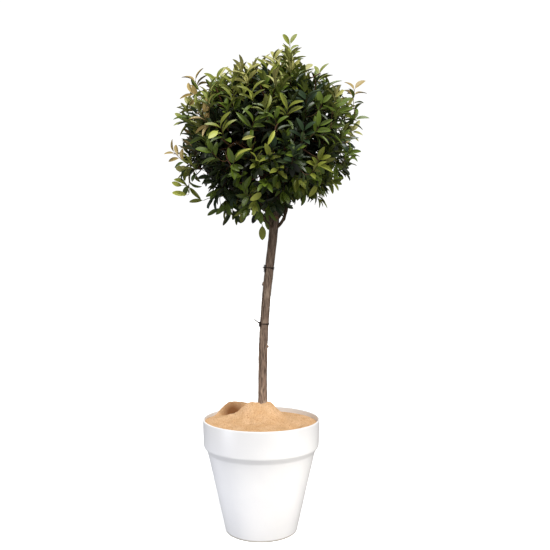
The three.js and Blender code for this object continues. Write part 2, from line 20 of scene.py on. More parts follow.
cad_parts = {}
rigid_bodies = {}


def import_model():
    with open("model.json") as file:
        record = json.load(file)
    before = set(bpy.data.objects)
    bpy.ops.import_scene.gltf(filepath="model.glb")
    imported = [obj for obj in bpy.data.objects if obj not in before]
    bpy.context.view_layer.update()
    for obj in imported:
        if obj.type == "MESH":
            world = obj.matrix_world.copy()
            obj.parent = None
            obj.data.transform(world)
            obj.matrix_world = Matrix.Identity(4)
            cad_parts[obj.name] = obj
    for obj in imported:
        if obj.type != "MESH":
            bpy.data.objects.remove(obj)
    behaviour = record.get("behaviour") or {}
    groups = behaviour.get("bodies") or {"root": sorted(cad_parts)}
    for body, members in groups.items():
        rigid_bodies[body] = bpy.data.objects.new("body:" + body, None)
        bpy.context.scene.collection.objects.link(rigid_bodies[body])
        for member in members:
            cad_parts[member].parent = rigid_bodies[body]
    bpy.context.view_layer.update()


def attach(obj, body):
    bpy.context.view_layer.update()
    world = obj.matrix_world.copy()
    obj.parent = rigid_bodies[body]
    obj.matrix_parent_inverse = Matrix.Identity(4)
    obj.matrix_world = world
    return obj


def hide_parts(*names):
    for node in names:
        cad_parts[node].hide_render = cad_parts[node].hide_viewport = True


LOG = logging.getLogger("standard_bay")
MM = 0.001
UP = np.array([0.0, 0.0, 1.0])
FRONT = np.array([0.0, -1.0, 0.0])
GOLDEN_ANGLE = math.radians(137.5)
BODY = "root"
LEAF_EDGE = 32.0
INTERNODE = 21.0
CROWN_RADIUS = 300.0

Faces = list[tuple[int, ...]]
Pattern = tuple[np.ndarray, Faces, np.ndarray]
Colour = tuple[float, ...]
Inputs = dict[str | int, object]


# Small helpers for vectors and colours


def unit(vector: np.ndarray) -> np.ndarray:
    """Return the vector at length one."""
    return vector / max(float(np.linalg.norm(vector)), 1e-12)


def lerp(low: float, high: float, share: float) -> float:
    """Return the value at a share of the way from low to high."""
    return low + (high - low) * share


def smoothstep(value: np.ndarray | float, low: float, high: float) -> np.ndarray | float:
    """Return 0 below low, 1 above high and a smooth rise between them."""
    share = np.clip((value - low) / (high - low), 0.0, 1.0)
    return share * share * (3.0 - 2.0 * share)


def direction_to(bearing: float, elevation: float) -> np.ndarray:
    """Return a direction.

    Args:
        bearing: Degrees from the right towards the back.
        elevation: Degrees above level.

    Returns:
        The unit vector.
    """
    turn = math.radians(bearing)
    rise = math.radians(elevation)
    return np.array([math.cos(rise) * math.cos(turn), math.cos(rise) * math.sin(turn), math.sin(rise)])


def across(axis: np.ndarray) -> np.ndarray:
    """Return a direction at a right angle to an axis."""
    reference = UP if abs(axis[2]) < 0.8 else np.array([1.0, 0.0, 0.0])
    return unit(np.cross(axis, reference))


def leaning(axis: np.ndarray, lean: float, turn: float) -> np.ndarray:
    """Return the direction that leans off an axis.

    Args:
        axis: The unit vector it leans from.
        lean: The angle between the two, in radians.
        turn: The angle round the axis, in radians.

    Returns:
        The unit vector.
    """
    side = across(axis)
    other = np.cross(axis, side)
    around = side * math.cos(turn) + other * math.sin(turn)
    return axis * math.cos(lean) + around * math.sin(lean)


def as_seen(points: np.ndarray, eye: np.ndarray) -> np.ndarray:
    """Return where points show, from the eye, on the upright plane through the pot's middle."""
    return eye + (points - eye) * (-eye[1] / (points[..., 1:2] - eye[1]))


def colour(red: int, green: int, blue: int) -> Colour:
    """Return a colour given as it shows on a screen, from 0 to 255, as light with an alpha of 1."""
    channels = []
    for value in (red, green, blue):
        share = value / 255.0
        channels.append(share / 12.92 if share <= 0.04045 else ((share + 0.055) / 1.055) ** 2.4)
    return (*channels, 1.0)


WHITE = colour(255, 255, 255)


class RandomStream:
    """Numbers from 0 to 1 in a fixed order for each seed, the same as in the part's source."""

    def __init__(self, seed: int) -> None:
        """Start the stream from a seed."""
        self.state = (seed * 2654435761) & 0xFFFFFFFF

    def __call__(self) -> float:
        """Return the next number."""
        self.state = (self.state + 0x6D2B79F5) & 0xFFFFFFFF
        bits = ((self.state ^ (self.state >> 15)) * (self.state | 1)) & 0xFFFFFFFF
        bits ^= (bits + (((bits ^ (bits >> 7)) * (bits | 61)) & 0xFFFFFFFF)) & 0xFFFFFFFF
        return ((bits ^ (bits >> 14)) & 0xFFFFFFFF) / 4294967296

    def between(self, low: float, high: float) -> float:
        """Return the next number, stretched over a range."""
        return lerp(low, high, self())


# Curves


class Curve:
    """A curve with a parameter from 0 to 1, and the same by share of its length."""

    DIVISIONS = 200
    STEP = 1e-4

    def __init__(self) -> None:
        """Measure the curve."""
        self.parameters = np.linspace(0.0, 1.0, self.DIVISIONS + 1)
        steps = np.linalg.norm(np.diff(self.points(self.parameters), axis=0), axis=1)
        self.lengths = np.concatenate([[0.0], np.cumsum(steps)])

    @property
    def length(self) -> float:
        """Return the curve's length."""
        return float(self.lengths[-1])

    def points(self, places: np.ndarray) -> np.ndarray:
        """Return the points at several parameters."""
        raise NotImplementedError

    def point(self, t: float) -> np.ndarray:
        """Return the point at a parameter."""
        return self.points(np.array([t]))[0]

    def tangent(self, t: float) -> np.ndarray:
        """Return the direction at a parameter."""
        return unit(self.point(min(t + self.STEP, 1.0)) - self.point(max(t - self.STEP, 0.0)))

    def parameter(self, share: float) -> float:
        """Return the parameter at a share of the length."""
        return float(np.interp(share * self.length, self.lengths, self.parameters))

    def point_at(self, share: float) -> np.ndarray:
        """Return the point at a share of the length."""
        return self.point(self.parameter(share))

    def points_at(self, shares: Sequence[float]) -> np.ndarray:
        """Return the points at several shares of the length."""
        return np.array([self.point_at(share) for share in shares])

    def tangent_at(self, share: float) -> np.ndarray:
        """Return the direction at a share of the length."""
        return self.tangent(self.parameter(share))


class Bezier(Curve):
    """A Bezier curve through its first and last handle."""

    def __init__(self, *handles: np.ndarray) -> None:
        """Keep the handles and measure the curve."""
        self.handles = np.array(handles, float)
        super().__init__()

    def points(self, places: np.ndarray) -> np.ndarray:
        """Return the points at several parameters."""
        row = self.handles[:, None, :]
        while len(row) > 1:
            row = row[:-1] + (row[1:] - row[:-1]) * places[:, None]
        return row[0]


class Spline(Curve):
    """A smooth curve through all its points, spaced by the square root of their distances."""

    def __init__(self, points: Sequence[Sequence[float]]) -> None:
        """Keep the points, with one more beyond each end, and measure the curve."""
        inner = np.array(points, float)
        first = 2 * inner[0] - inner[1]
        last = 2 * inner[-1] - inner[-2]
        self.stations = np.vstack([first, inner, last])
        super().__init__()

    def points(self, places: np.ndarray) -> np.ndarray:
        """Return the points at several parameters."""
        return np.array([self.between_stations(place) for place in places])

    def between_stations(self, t: float) -> np.ndarray:
        """Return the point at one parameter."""
        spans = len(self.stations) - 3
        place = min(int(t * spans), spans - 1)
        share = t * spans - place
        before, start, end, after = self.stations[place:place + 4]
        pairs = ((before, start), (start, end), (end, after))
        first, gap, last = (float(np.linalg.norm(far - near)) ** 0.5 for near, far in pairs)
        leave = (start - before) / first - (end - before) / (first + gap) + (end - start) / gap
        arrive = (end - start) / gap - (after - start) / (gap + last) + (after - end) / last
        leave = leave * gap
        arrive = arrive * gap
        square = -3 * start + 3 * end - 2 * leave - arrive
        cube = 2 * start - 2 * end + leave + arrive
        return start + leave * share + square * share**2 + cube * share**3


# Meshes


def deselect_all() -> None:
    """Leave edit mode and select nothing."""
    if bpy.context.mode != "OBJECT":
        bpy.ops.object.mode_set(mode="OBJECT")
    bpy.ops.object.select_all(action="DESELECT")


def make_active(piece: bpy.types.Object) -> None:
    """Select one object alone and make it the active one."""
    deselect_all()
    piece.select_set(True)
    bpy.context.view_layer.objects.active = piece


def add_object(name: str, data: bpy.types.ID) -> bpy.types.Object:
    """Put an object with its mesh, light or camera into the scene."""
    made = bpy.data.objects.new(name, data)
    bpy.context.collection.objects.link(made)
    return made


def finish_edit() -> None:
    """Turn all faces of the edited mesh outward and leave edit mode."""
    bpy.ops.mesh.select_all(action="SELECT")
    bpy.ops.mesh.normals_make_consistent(inside=False)
    bpy.ops.object.mode_set(mode="OBJECT")


def round_edges(piece: bpy.types.Object, width: float, segments: int, degrees: float) -> None:
    """Round the edges of a piece.

    Args:
        piece: The object.
        width: How wide the rounding is, in millimetres.
        segments: How many faces it has across.
        degrees: Only edges sharper than this are rounded.
    """
    bevel = piece.modifiers.new("edges", "BEVEL")
    bevel.width = width * MM
    bevel.segments = segments
    bevel.limit_method = "ANGLE"
    bevel.angle_limit = math.radians(degrees)
    make_active(piece)
    bpy.ops.object.modifier_apply(modifier=bevel.name)


def settle(piece: bpy.types.Object, name: str) -> bpy.types.Object:
    """Put a piece's place into its mesh and name it.

    Args:
        piece: The object.
        name: Its new name.

    Returns:
        The same object, at the origin, unturned and unscaled.
    """
    make_active(piece)
    bpy.ops.object.transform_apply(location=True, rotation=True, scale=True)
    piece.name = name
    piece.data.name = name
    return piece


def dress(piece: bpy.types.Object, degrees: float, nodes: Sequence[str]) -> bpy.types.Object:
    """Shade a piece and tie it to what it stands for.

    Args:
        piece: The piece.
        degrees: Edges sharper than this stay sharp.
        nodes: The solids that it replaces.

    Returns:
        The same piece.
    """
    make_active(piece)
    bpy.ops.object.shade_smooth_by_angle(angle=math.radians(degrees))
    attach(piece, BODY)
    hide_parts(*nodes)
    return piece


def join(pieces: Sequence[bpy.types.Object], name: str) -> bpy.types.Object:
    """Join several objects into the first one and name it."""
    make_active(pieces[0])
    for piece in pieces:
        piece.select_set(True)
    bpy.ops.object.join()
    return settle(pieces[0], name)


@dataclass
class MeshStore:
    """Faces gathered from many small shapes, to be joined into one piece."""

    vertices: list[np.ndarray] = field(default_factory=list)
    faces: Faces = field(default_factory=list)
    slots: list[int] = field(default_factory=list)
    count: int = 0

    def add(self, vertices: np.ndarray, faces: Faces, slots: Sequence[int] | int = 0) -> None:
        """Add one shape.

        Args:
            vertices: Its corners, in millimetres.
            faces: Its faces, by corner number.
            slots: The material slot of each face, or of all.
        """
        first = self.count
        self.vertices.append(vertices)
        self.faces.extend(tuple(corner + first for corner in face) for face in faces)
        self.slots.extend([slots] * len(faces) if isinstance(slots, int) else slots)
        self.count += len(vertices)

    def piece(self, name: str, materials: Sequence[bpy.types.Material] = ()) -> bpy.types.Object:
        """Make the joined piece.

        Args:
            name: The object's name.
            materials: One for each slot.

        Returns:
            The object, with its place in its mesh.
        """
        mesh = bpy.data.meshes.new(name)
        mesh.from_pydata((np.vstack(self.vertices) * MM).tolist(), [], self.faces)
        for material in materials:
            mesh.materials.append(material)
        mesh.polygons.foreach_set("material_index", self.slots)
        mesh.update()
        return add_object(name, mesh)


def tube(points: np.ndarray, radii: np.ndarray, sides: int) -> tuple[np.ndarray, Faces]:
    """Make a closed round bar along points.

    Args:
        points: The middle of each ring.
        radii: The radius of each ring, or of each corner of each ring.
        sides: How many corners a ring has.

    Returns:
        The corners and the faces.
    """
    tangents = np.gradient(points, axis=0)
    tangents = tangents / np.linalg.norm(tangents, axis=1)[:, None]
    side = across(tangents[0])
    angles = np.arange(sides) * (2 * math.pi / sides)
    rings = []
    for point, tangent, radius in zip(points, tangents, radii):
        side = unit(side - tangent * float(side @ tangent))
        other = np.cross(tangent, side)
        around = np.cos(angles)[:, None] * side + np.sin(angles)[:, None] * other
        rings.append(point + around * np.reshape(radius, (-1, 1)))
    faces: Faces = [tuple(range(sides - 1, -1, -1))]
    for ring in range(len(points) - 1):
        for corner in range(sides):
            following = (corner + 1) % sides
            low = ring * sides
            faces.append((low + corner, low + following, low + sides + following, low + sides + corner))
    last = (len(points) - 1) * sides
    faces.append(tuple(range(last, last + sides)))
    return np.vstack(rings), faces


# Materials


class NodeWork:
    """A node tree under work."""

    def __init__(self, tree: bpy.types.ShaderNodeTree) -> None:
        """Keep the tree."""
        self.tree = tree

    def fill(self, node: bpy.types.Node, values: Inputs) -> None:
        """Set inputs of a node.

        Args:
            node: The node.
            values: By input, a constant or the output of another node.
        """
        for key, value in values.items():
            if isinstance(value, bpy.types.NodeSocket):
                self.tree.links.new(value, node.inputs[key])
            else:
                node.inputs[key].default_value = value

    def add(self, kind: str, values: Inputs | None = None) -> bpy.types.Node:
        """Add a node and set its inputs as fill does."""
        node = self.tree.nodes.new(kind)
        self.fill(node, values or {})
        return node


def mottle_group() -> bpy.types.ShaderNodeTree:
    """Make the shared effect: soft patches with a size, a stretch along Z and a contrast.

    Returns:
        The node group, with one output from 0 to 1.
    """
    tree = bpy.data.node_groups.new("mottle", "ShaderNodeTree")
    for name in ("Scale", "Detail", "Stretch", "Low", "High"):
        tree.interface.new_socket(name, in_out="INPUT", socket_type="NodeSocketFloat")
    tree.interface.new_socket("Mask", in_out="OUTPUT", socket_type="NodeSocketFloat")
    work = NodeWork(tree)
    given = work.add("NodeGroupInput").outputs
    place = work.add("ShaderNodeTexCoord").outputs["Object"]
    stretch = work.add("ShaderNodeCombineXYZ", {"X": 1.0, "Y": 1.0, "Z": given["Stretch"]})
    mapping = work.add("ShaderNodeMapping", {"Vector": place, "Scale": stretch.outputs["Vector"]})
    pattern = work.add("ShaderNodeTexNoise", {
        "Vector": mapping.outputs["Vector"],
        "Scale": given["Scale"],
        "Detail": given["Detail"],
    })
    span = work.add("ShaderNodeMapRange", {
        "Value": pattern.outputs["Fac"],
        "From Min": given["Low"],
        "From Max": given["High"],
    })
    work.add("NodeGroupOutput", {"Mask": span.outputs["Result"]})
    return tree


class Surface(NodeWork):
    """A material with a Principled shader, under work."""

    def __init__(self, name: str) -> None:
        """Make the material and find its shader."""
        self.material = bpy.data.materials.new(name)
        self.material.use_nodes = True
        super().__init__(self.material.node_tree)
        self.shader = next(node for node in self.tree.nodes if node.type == "BSDF_PRINCIPLED")

    def mottle(
        self,
        scale: float,
        detail: float = 4.0,
        stretch: float = 1.0,
        low: float = 0.35,
        high: float = 0.65,
    ) -> bpy.types.NodeSocket:
        """Put the shared effect into the material.

        Args:
            scale: How many patches there are to a metre.
            detail: How fine they are.
            stretch: Their scale along Z, as a share of the scale across.
            low: Where in the pattern the mask leaves 0.
            high: Where it reaches 1.

        Returns:
            The mask.
        """
        node = self.add("ShaderNodeGroup")
        node.node_tree = bpy.data.node_groups.get("mottle") or mottle_group()
        self.fill(node, {"Scale": scale, "Detail": detail, "Stretch": stretch, "Low": low, "High": high})
        return node.outputs["Mask"]

    def blend(
        self, mask: bpy.types.NodeSocket, low: bpy.types.NodeSocket | Colour, high: Colour
    ) -> bpy.types.NodeSocket:
        """Mix two colours.

        Args:
            mask: 0 gives low and 1 gives high.
            low: A colour, or the output of an earlier mix.
            high: A colour.

        Returns:
            The mixed colour.
        """
        mix = self.add("ShaderNodeMix")
        mix.data_type = "RGBA"
        self.fill(mix, {"Factor": mask, "A": low, "B": high})
        return mix.outputs["Result"]

    def place(self) -> bpy.types.NodeSocket:
        """Return the place on the piece."""
        return self.add("ShaderNodeTexCoord").outputs["Object"]

    def nearness(self, measure: bpy.types.NodeSocket, far: float, near: float) -> bpy.types.NodeSocket:
        """Return a mask that is 0 where a measure is far and 1 where it is near."""
        span = self.add("ShaderNodeMapRange", {"Value": measure, "From Min": far, "From Max": near})
        return span.outputs["Result"]

    def bump(self, height: bpy.types.NodeSocket, strength: float, distance: float) -> None:
        """Let a height pattern turn the shader's normal.

        Args:
            height: The pattern.
            strength: From 0 to 1.
            distance: The relief's height in metres.
        """
        node = self.add("ShaderNodeBump", {"Strength": strength, "Distance": distance, "Height": height})
        self.fill(self.shader, {"Normal": node.outputs["Normal"]})


@dataclass(frozen=True)
class GlazedWhite:
    """The pot's smooth white coat, faintly uneven in its gloss, with painted shade along its foot."""

    base: Colour = colour(230, 229, 228)
    shaded: Colour = colour(224, 223, 223)
    # Painted shade: a dark brown band stands in for the shadow where the foot meets the floor.
    foot_shade: Colour = colour(126, 108, 72)
    foot_shade_height: float = 0.008
    roughness: tuple[float, float] = (0.3, 0.42)

    def material(self) -> bpy.types.Material:
        """Make the material."""
        surface = Surface("glazed_white")
        tint = surface.blend(surface.mottle(scale=6.0, detail=3.0), self.base, self.shaded)
        height = surface.add("ShaderNodeSeparateXYZ", {"Vector": surface.place()}).outputs["Z"]
        # Painted shade at the foot: the lowest millimetres turn dark, where the floor's shadow would fall.
        near_foot = surface.nearness(height, far=self.foot_shade_height, near=0.0)
        spread = surface.add("ShaderNodeMapRange", {
            "Value": surface.mottle(scale=22.0, detail=5.0),
            "To Min": self.roughness[0],
            "To Max": self.roughness[1],
        })
        surface.fill(surface.shader, {
            "Base Color": surface.blend(near_foot, tint, self.foot_shade),
            "Roughness": spread.outputs["Result"],
        })
        surface.bump(surface.mottle(scale=160.0, detail=2.0), strength=0.12, distance=0.0004)
        return surface.material


@dataclass(frozen=True)
class SandGrain:
    """Loose fine sand: pale ochre with darker and lighter grains, and painted shade in its hollow."""

    base: Colour = colour(206, 166, 122)
    pale: Colour = colour(219, 182, 142)
    speck: Colour = colour(180, 134, 88)
    dark: Colour = colour(158, 110, 68)
    # Painted shade for the hollow in front of the back heap, darkest at its middle.
    hollow_shade: Colour = colour(128, 84, 50)
    hollow: tuple[float, ...] = (-0.104, 0.09, 0.382)
    hollow_size: tuple[float, float] = (0.018, 0.052)

    def material(self) -> bpy.types.Material:
        """Make the material."""
        surface = Surface("sand_grain")
        # The distance from the hollow's middle places its painted shade.
        distance = surface.add("ShaderNodeVectorMath", {0: surface.place(), 1: self.hollow})
        distance.operation = "DISTANCE"
        near, far = self.hollow_size
        tint = surface.blend(surface.mottle(scale=28.0, detail=6.0), self.base, self.pale)
        for mask, tone in (
            (surface.mottle(scale=210.0, detail=9.0, low=0.5, high=0.74), self.speck),
            (surface.mottle(scale=900.0, detail=2.0, low=0.56, high=0.7), self.dark),
            (surface.nearness(distance.outputs["Value"], far, near), self.hollow_shade),
        ):
            tint = surface.blend(mask, tint, tone)
        surface.fill(surface.shader, {"Base Color": tint, "Roughness": 0.95, "Specular IOR Level": 0.2})
        relief = surface.mottle(scale=260.0, detail=7.0, low=0.2, high=0.8)
        surface.bump(relief, strength=0.7, distance=0.003)
        return surface.material


@dataclass(frozen=True)
class Bark:
    """Bark with streaks along the limb and scattered pale and dark patches."""

    name: str
    base: Colour
    streak: Colour
    patch: Colour
    scale: float = 150.0
    stretch: float = 0.12
    bump: float = 0.5
    roughness: float = 0.85

    def material(self) -> bpy.types.Material:
        """Make the material."""
        surface = Surface(self.name)
        streaks = surface.mottle(self.scale, detail=7.0, stretch=self.stretch, low=0.36, high=0.6)
        patches = surface.mottle(self.scale * 0.3, stretch=self.stretch * 2.5, low=0.52, high=0.72)
        tint = surface.blend(streaks, self.streak, self.base)
        surface.fill(surface.shader, {
            "Base Color": surface.blend(patches, tint, self.patch),
            "Roughness": self.roughness,
            "Specular IOR Level": 0.3,
        })
        surface.bump(streaks, self.bump, distance=0.0012)
        return surface.material


@dataclass(frozen=True)
class DarkWire:
    """Soft iron wire that has gone dark."""

    base: Colour = colour(40, 36, 34)
    rusty: Colour = colour(74, 54, 42)

    def material(self) -> bpy.types.Material:
        """Make the material."""
        surface = Surface("dark_wire")
        tint = surface.blend(surface.mottle(scale=300.0), self.base, self.rusty)
        surface.fill(surface.shader, {"Base Color": tint, "Metallic": 0.6, "Roughness": 0.55})
        return surface.material


class Tint(Enum):
    """The leaf colours, from the painted shade of the inside to the young shoots."""

    # Near black: painted shade for leaves deep within the crown, and the colour of the oldest dark leaves.
    DEEP = "deep"
    DARK = "dark"
    BLUISH = "bluish"
    GREEN = "green"
    OLIVE = "olive"
    YOUNG = "young"
    BRONZE = "bronze"
    LIME = "lime"


@dataclass(frozen=True)
class LeafFinish:
    """A leaf's glossy upper side and its paler, duller underside."""

    upper: Colour
    under: Colour
    roughness: float
    gloss: float = 0.48
    duller: float = 0.2

    def materials(self, tint: Tint) -> list[bpy.types.Material]:
        """Make the two materials, the upper side's first."""
        made = []
        for side, tone, dullness in (("upper", self.upper, 0.0), ("under", self.under, self.duller)):
            surface = Surface(f"leaf_{tint.value}_{side}")
            surface.fill(surface.shader, {
                "Base Color": tone,
                "Roughness": self.roughness + dullness,
                "Specular IOR Level": self.gloss,
            })
            made.append(surface.material)
        return made


LEAF_FINISHES = {
    # The deep finish is near black: painted shade for the crown's inside.
    Tint.DEEP: LeafFinish(colour(20, 27, 8), colour(34, 43, 18), 0.4),
    Tint.DARK: LeafFinish(colour(48, 64, 20), colour(72, 84, 36), 0.36),
    Tint.BLUISH: LeafFinish(colour(48, 68, 42), colour(72, 88, 56), 0.35),
    Tint.GREEN: LeafFinish(colour(96, 116, 34), colour(118, 130, 54), 0.38),
    Tint.OLIVE: LeafFinish(colour(138, 146, 58), colour(150, 154, 78), 0.4),
    Tint.YOUNG: LeafFinish(colour(174, 172, 96), colour(174, 170, 108), 0.42),
    Tint.BRONZE: LeafFinish(colour(174, 152, 92), colour(164, 144, 96), 0.42),
    Tint.LIME: LeafFinish(colour(184, 190, 84), colour(186, 188, 104), 0.42),
}

TRUNK_BARK = Bark(
    "trunk_bark", colour(158, 134, 117), colour(82, 68, 58), colour(176, 154, 134), scale=300.0
)
BOUGH_BARK = Bark(
    "bough_bark", colour(98, 80, 62), colour(56, 42, 32), colour(122, 104, 84), scale=260.0, bump=0.35
)
TWIG_BARK = Bark(
    "twig_bark", colour(112, 74, 50), colour(70, 44, 30), colour(104, 96, 52), scale=320.0, bump=0.15,
    roughness=0.6,
)
CUT_WOOD = Bark(
    "cut_wood", colour(178, 138, 104), colour(140, 98, 72), colour(120, 84, 62), scale=200.0, stretch=1.0,
    bump=0.2,
)


# The pot and the sand


@dataclass
class Pot:
    """A plain tapered pot under a broad rim band."""

    height: float = 378.6
    rim_radius: float = 200.0
    rim_foot_radius: float = 196.6
    rim_foot_height: float = 289.0
    neck_radius: float = 183.8
    neck_height: float = 271.0
    base_radius: float = 122.0
    wall: float = 7.0
    floor: float = 7.0
    edge: float = 3.5
    steps: int = 128

    def outer_radius(self, height: float) -> float:
        """Return the outer radius at a height."""
        heights = (0.0, self.neck_height, self.rim_foot_height, self.height)
        radii = (self.base_radius, self.neck_radius, self.rim_foot_radius, self.rim_radius)
        return float(np.interp(height, heights, radii))

    def inner_radius(self, height: float) -> float:
        """Return the inner radius at a height."""
        return self.outer_radius(height) - self.wall

    def profile(self) -> list[tuple[float, float]]:
        """Return the wall's half section, from the underside's middle round to the floor's middle."""
        inner_heights = (self.height, self.rim_foot_height, self.neck_height, self.floor)
        return [
            (0.0, 0.0),
            (self.base_radius, 0.0),
            (self.neck_radius, self.neck_height),
            (self.rim_foot_radius, self.rim_foot_height),
            (self.rim_radius, self.height),
            *[(self.inner_radius(height), height) for height in inner_heights],
            (0.0, self.floor),
        ]

    def build(self) -> bpy.types.Object:
        """Model and dress the pot."""
        piece = spun(self.profile(), self.steps, "pot_shell")
        round_edges(piece, self.edge, segments=4, degrees=12)
        piece.data.materials.append(GlazedWhite().material())
        return dress(piece, 40, ["pot"])


def spun(profile: Sequence[tuple[float, float]], steps: int, name: str) -> bpy.types.Object:
    """Turn a half section round the Z axis.

    Args:
        profile: Radius and height of each point, in millimetres.
        steps: How many faces go round.
        name: The object's name.

    Returns:
        The closed body.
    """
    mesh = bpy.data.meshes.new(name)
    points = [(radius * MM, 0.0, height * MM) for radius, height in profile]
    mesh.from_pydata(points, [(i, i + 1) for i in range(len(points) - 1)], [])
    piece = add_object(name, mesh)
    make_active(piece)
    bpy.ops.object.mode_set(mode="EDIT")
    bpy.ops.mesh.select_all(action="SELECT")
    bpy.ops.mesh.spin(steps=steps, angle=2 * math.pi, center=(0, 0, 0), axis=(0, 0, 1))
    bpy.ops.mesh.select_all(action="SELECT")
    bpy.ops.mesh.remove_doubles(threshold=1e-6)
    finish_edit()
    return piece


@dataclass(frozen=True)
class Mound:
    """A mound on the sand, or with a negative rise a hollow."""

    x: float
    y: float
    rise: float
    wide: float
    deep: float

    def height(self, x: np.ndarray, y: np.ndarray) -> np.ndarray:
        """Return how far the mound lifts the sand at each place."""
        return self.rise * np.exp(-(((x - self.x) / self.wide) ** 2) - ((y - self.y) / self.deep) ** 2)


@dataclass
class SandFill:
    """The sand that fills the pot, heaped round the trunk."""

    pot: Pot
    level: float = 362.0
    rings: int = 64
    steps: int = 180
    clearance: float = 0.6
    swell: float = 3.6
    swell_size: tuple[float, float] = (34.0, 26.0)
    ripple: float = 3.8
    ripple_size: tuple[float, float] = (16.0, 6.0)
    ripple_turn: float = 0.3
    calm_edge: float = 14.0
    mounds: tuple[Mound, ...] = (
        Mound(4, -6, 58, 80, 74),
        Mound(-46, 0, 22, 34, 40),
        Mound(34, -10, 20, 26, 36),
        Mound(-6, -14, 7, 26, 26),
        Mound(-116, 124, 40, 42, 30),
        Mound(-60, 126, 34, 40, 34),
        Mound(-100, 84, -22, 34, 18),
        Mound(-128, 8, 17, 70, 70),
        Mound(10, -150, 16, 150, 60),
        Mound(150, -92, 15, 26, 28),
        Mound(101, -98, -19, 24, 22),
    )

    def reach(self, height: float) -> float:
        """Return how far the sand reaches from the middle at a height."""
        return self.pot.inner_radius(height) - self.clearance

    def surface(self, x: np.ndarray, y: np.ndarray) -> np.ndarray:
        """Return the height of the sand at each place, without its ripples."""
        return self.level + sum(mound.height(x, y) for mound in self.mounds)

    def profile(self) -> list[tuple[float, float]]:
        """Return the half section, from the foot's middle up the wall and over to the middle."""
        foot = self.pot.floor + 0.3
        heights = (foot, self.pot.neck_height, self.pot.rim_foot_height)
        side = [(self.reach(height), height) for height in heights]
        edge = self.reach(self.level)
        top = [(edge * ring / self.rings, self.level) for ring in range(self.rings, -1, -1)]
        return [(0.0, foot), *side, *top]

    def build(self) -> bpy.types.Object:
        """Model and dress the sand."""
        piece = spun(self.profile(), self.steps, "sand_fill")
        edge = self.reach(self.level)
        for vertex in piece.data.vertices:
            x, y, z = (value / MM for value in vertex.co)
            if z < self.level - 1:
                continue
            height = float(self.surface(np.array(x), np.array(y)))
            inside = float(smoothstep(edge - math.hypot(x, y), 0.0, self.calm_edge))
            broad = Vector((x / self.swell_size[0], y / self.swell_size[1], 0.3))
            narrow = Vector(
                ((x + y) / self.ripple_size[0], (y - x * self.ripple_turn) / self.ripple_size[1], 5.1)
            )
            height += self.swell * inside * noise.noise(broad)
            height += self.ripple * inside * noise.noise(narrow)
            limit = self.reach(height) / edge
            vertex.co = (x * limit * MM, y * limit * MM, height * MM)
        piece.data.materials.append(SandGrain().material())
        return dress(piece, 60, ["sand"])


# The limbs


@dataclass
class Limb:
    """A trunk, bough or twig: its curve and its radius along it."""

    name: str
    curve: Curve
    radius_at: Callable[[float], float]


@dataclass(frozen=True)
class Stub:
    """What is left of a pruned shoot on the trunk: a collar that rises a little, with a sunk cut.

    Collar and rim are shares of the radius.
    """

    height: float
    bearing: float
    length: float
    radius: float
    rise: float = 18.0
    collar: float = 1.12
    rim: float = 0.28
    sunk: float = 1.3
    worn: float = 0.8


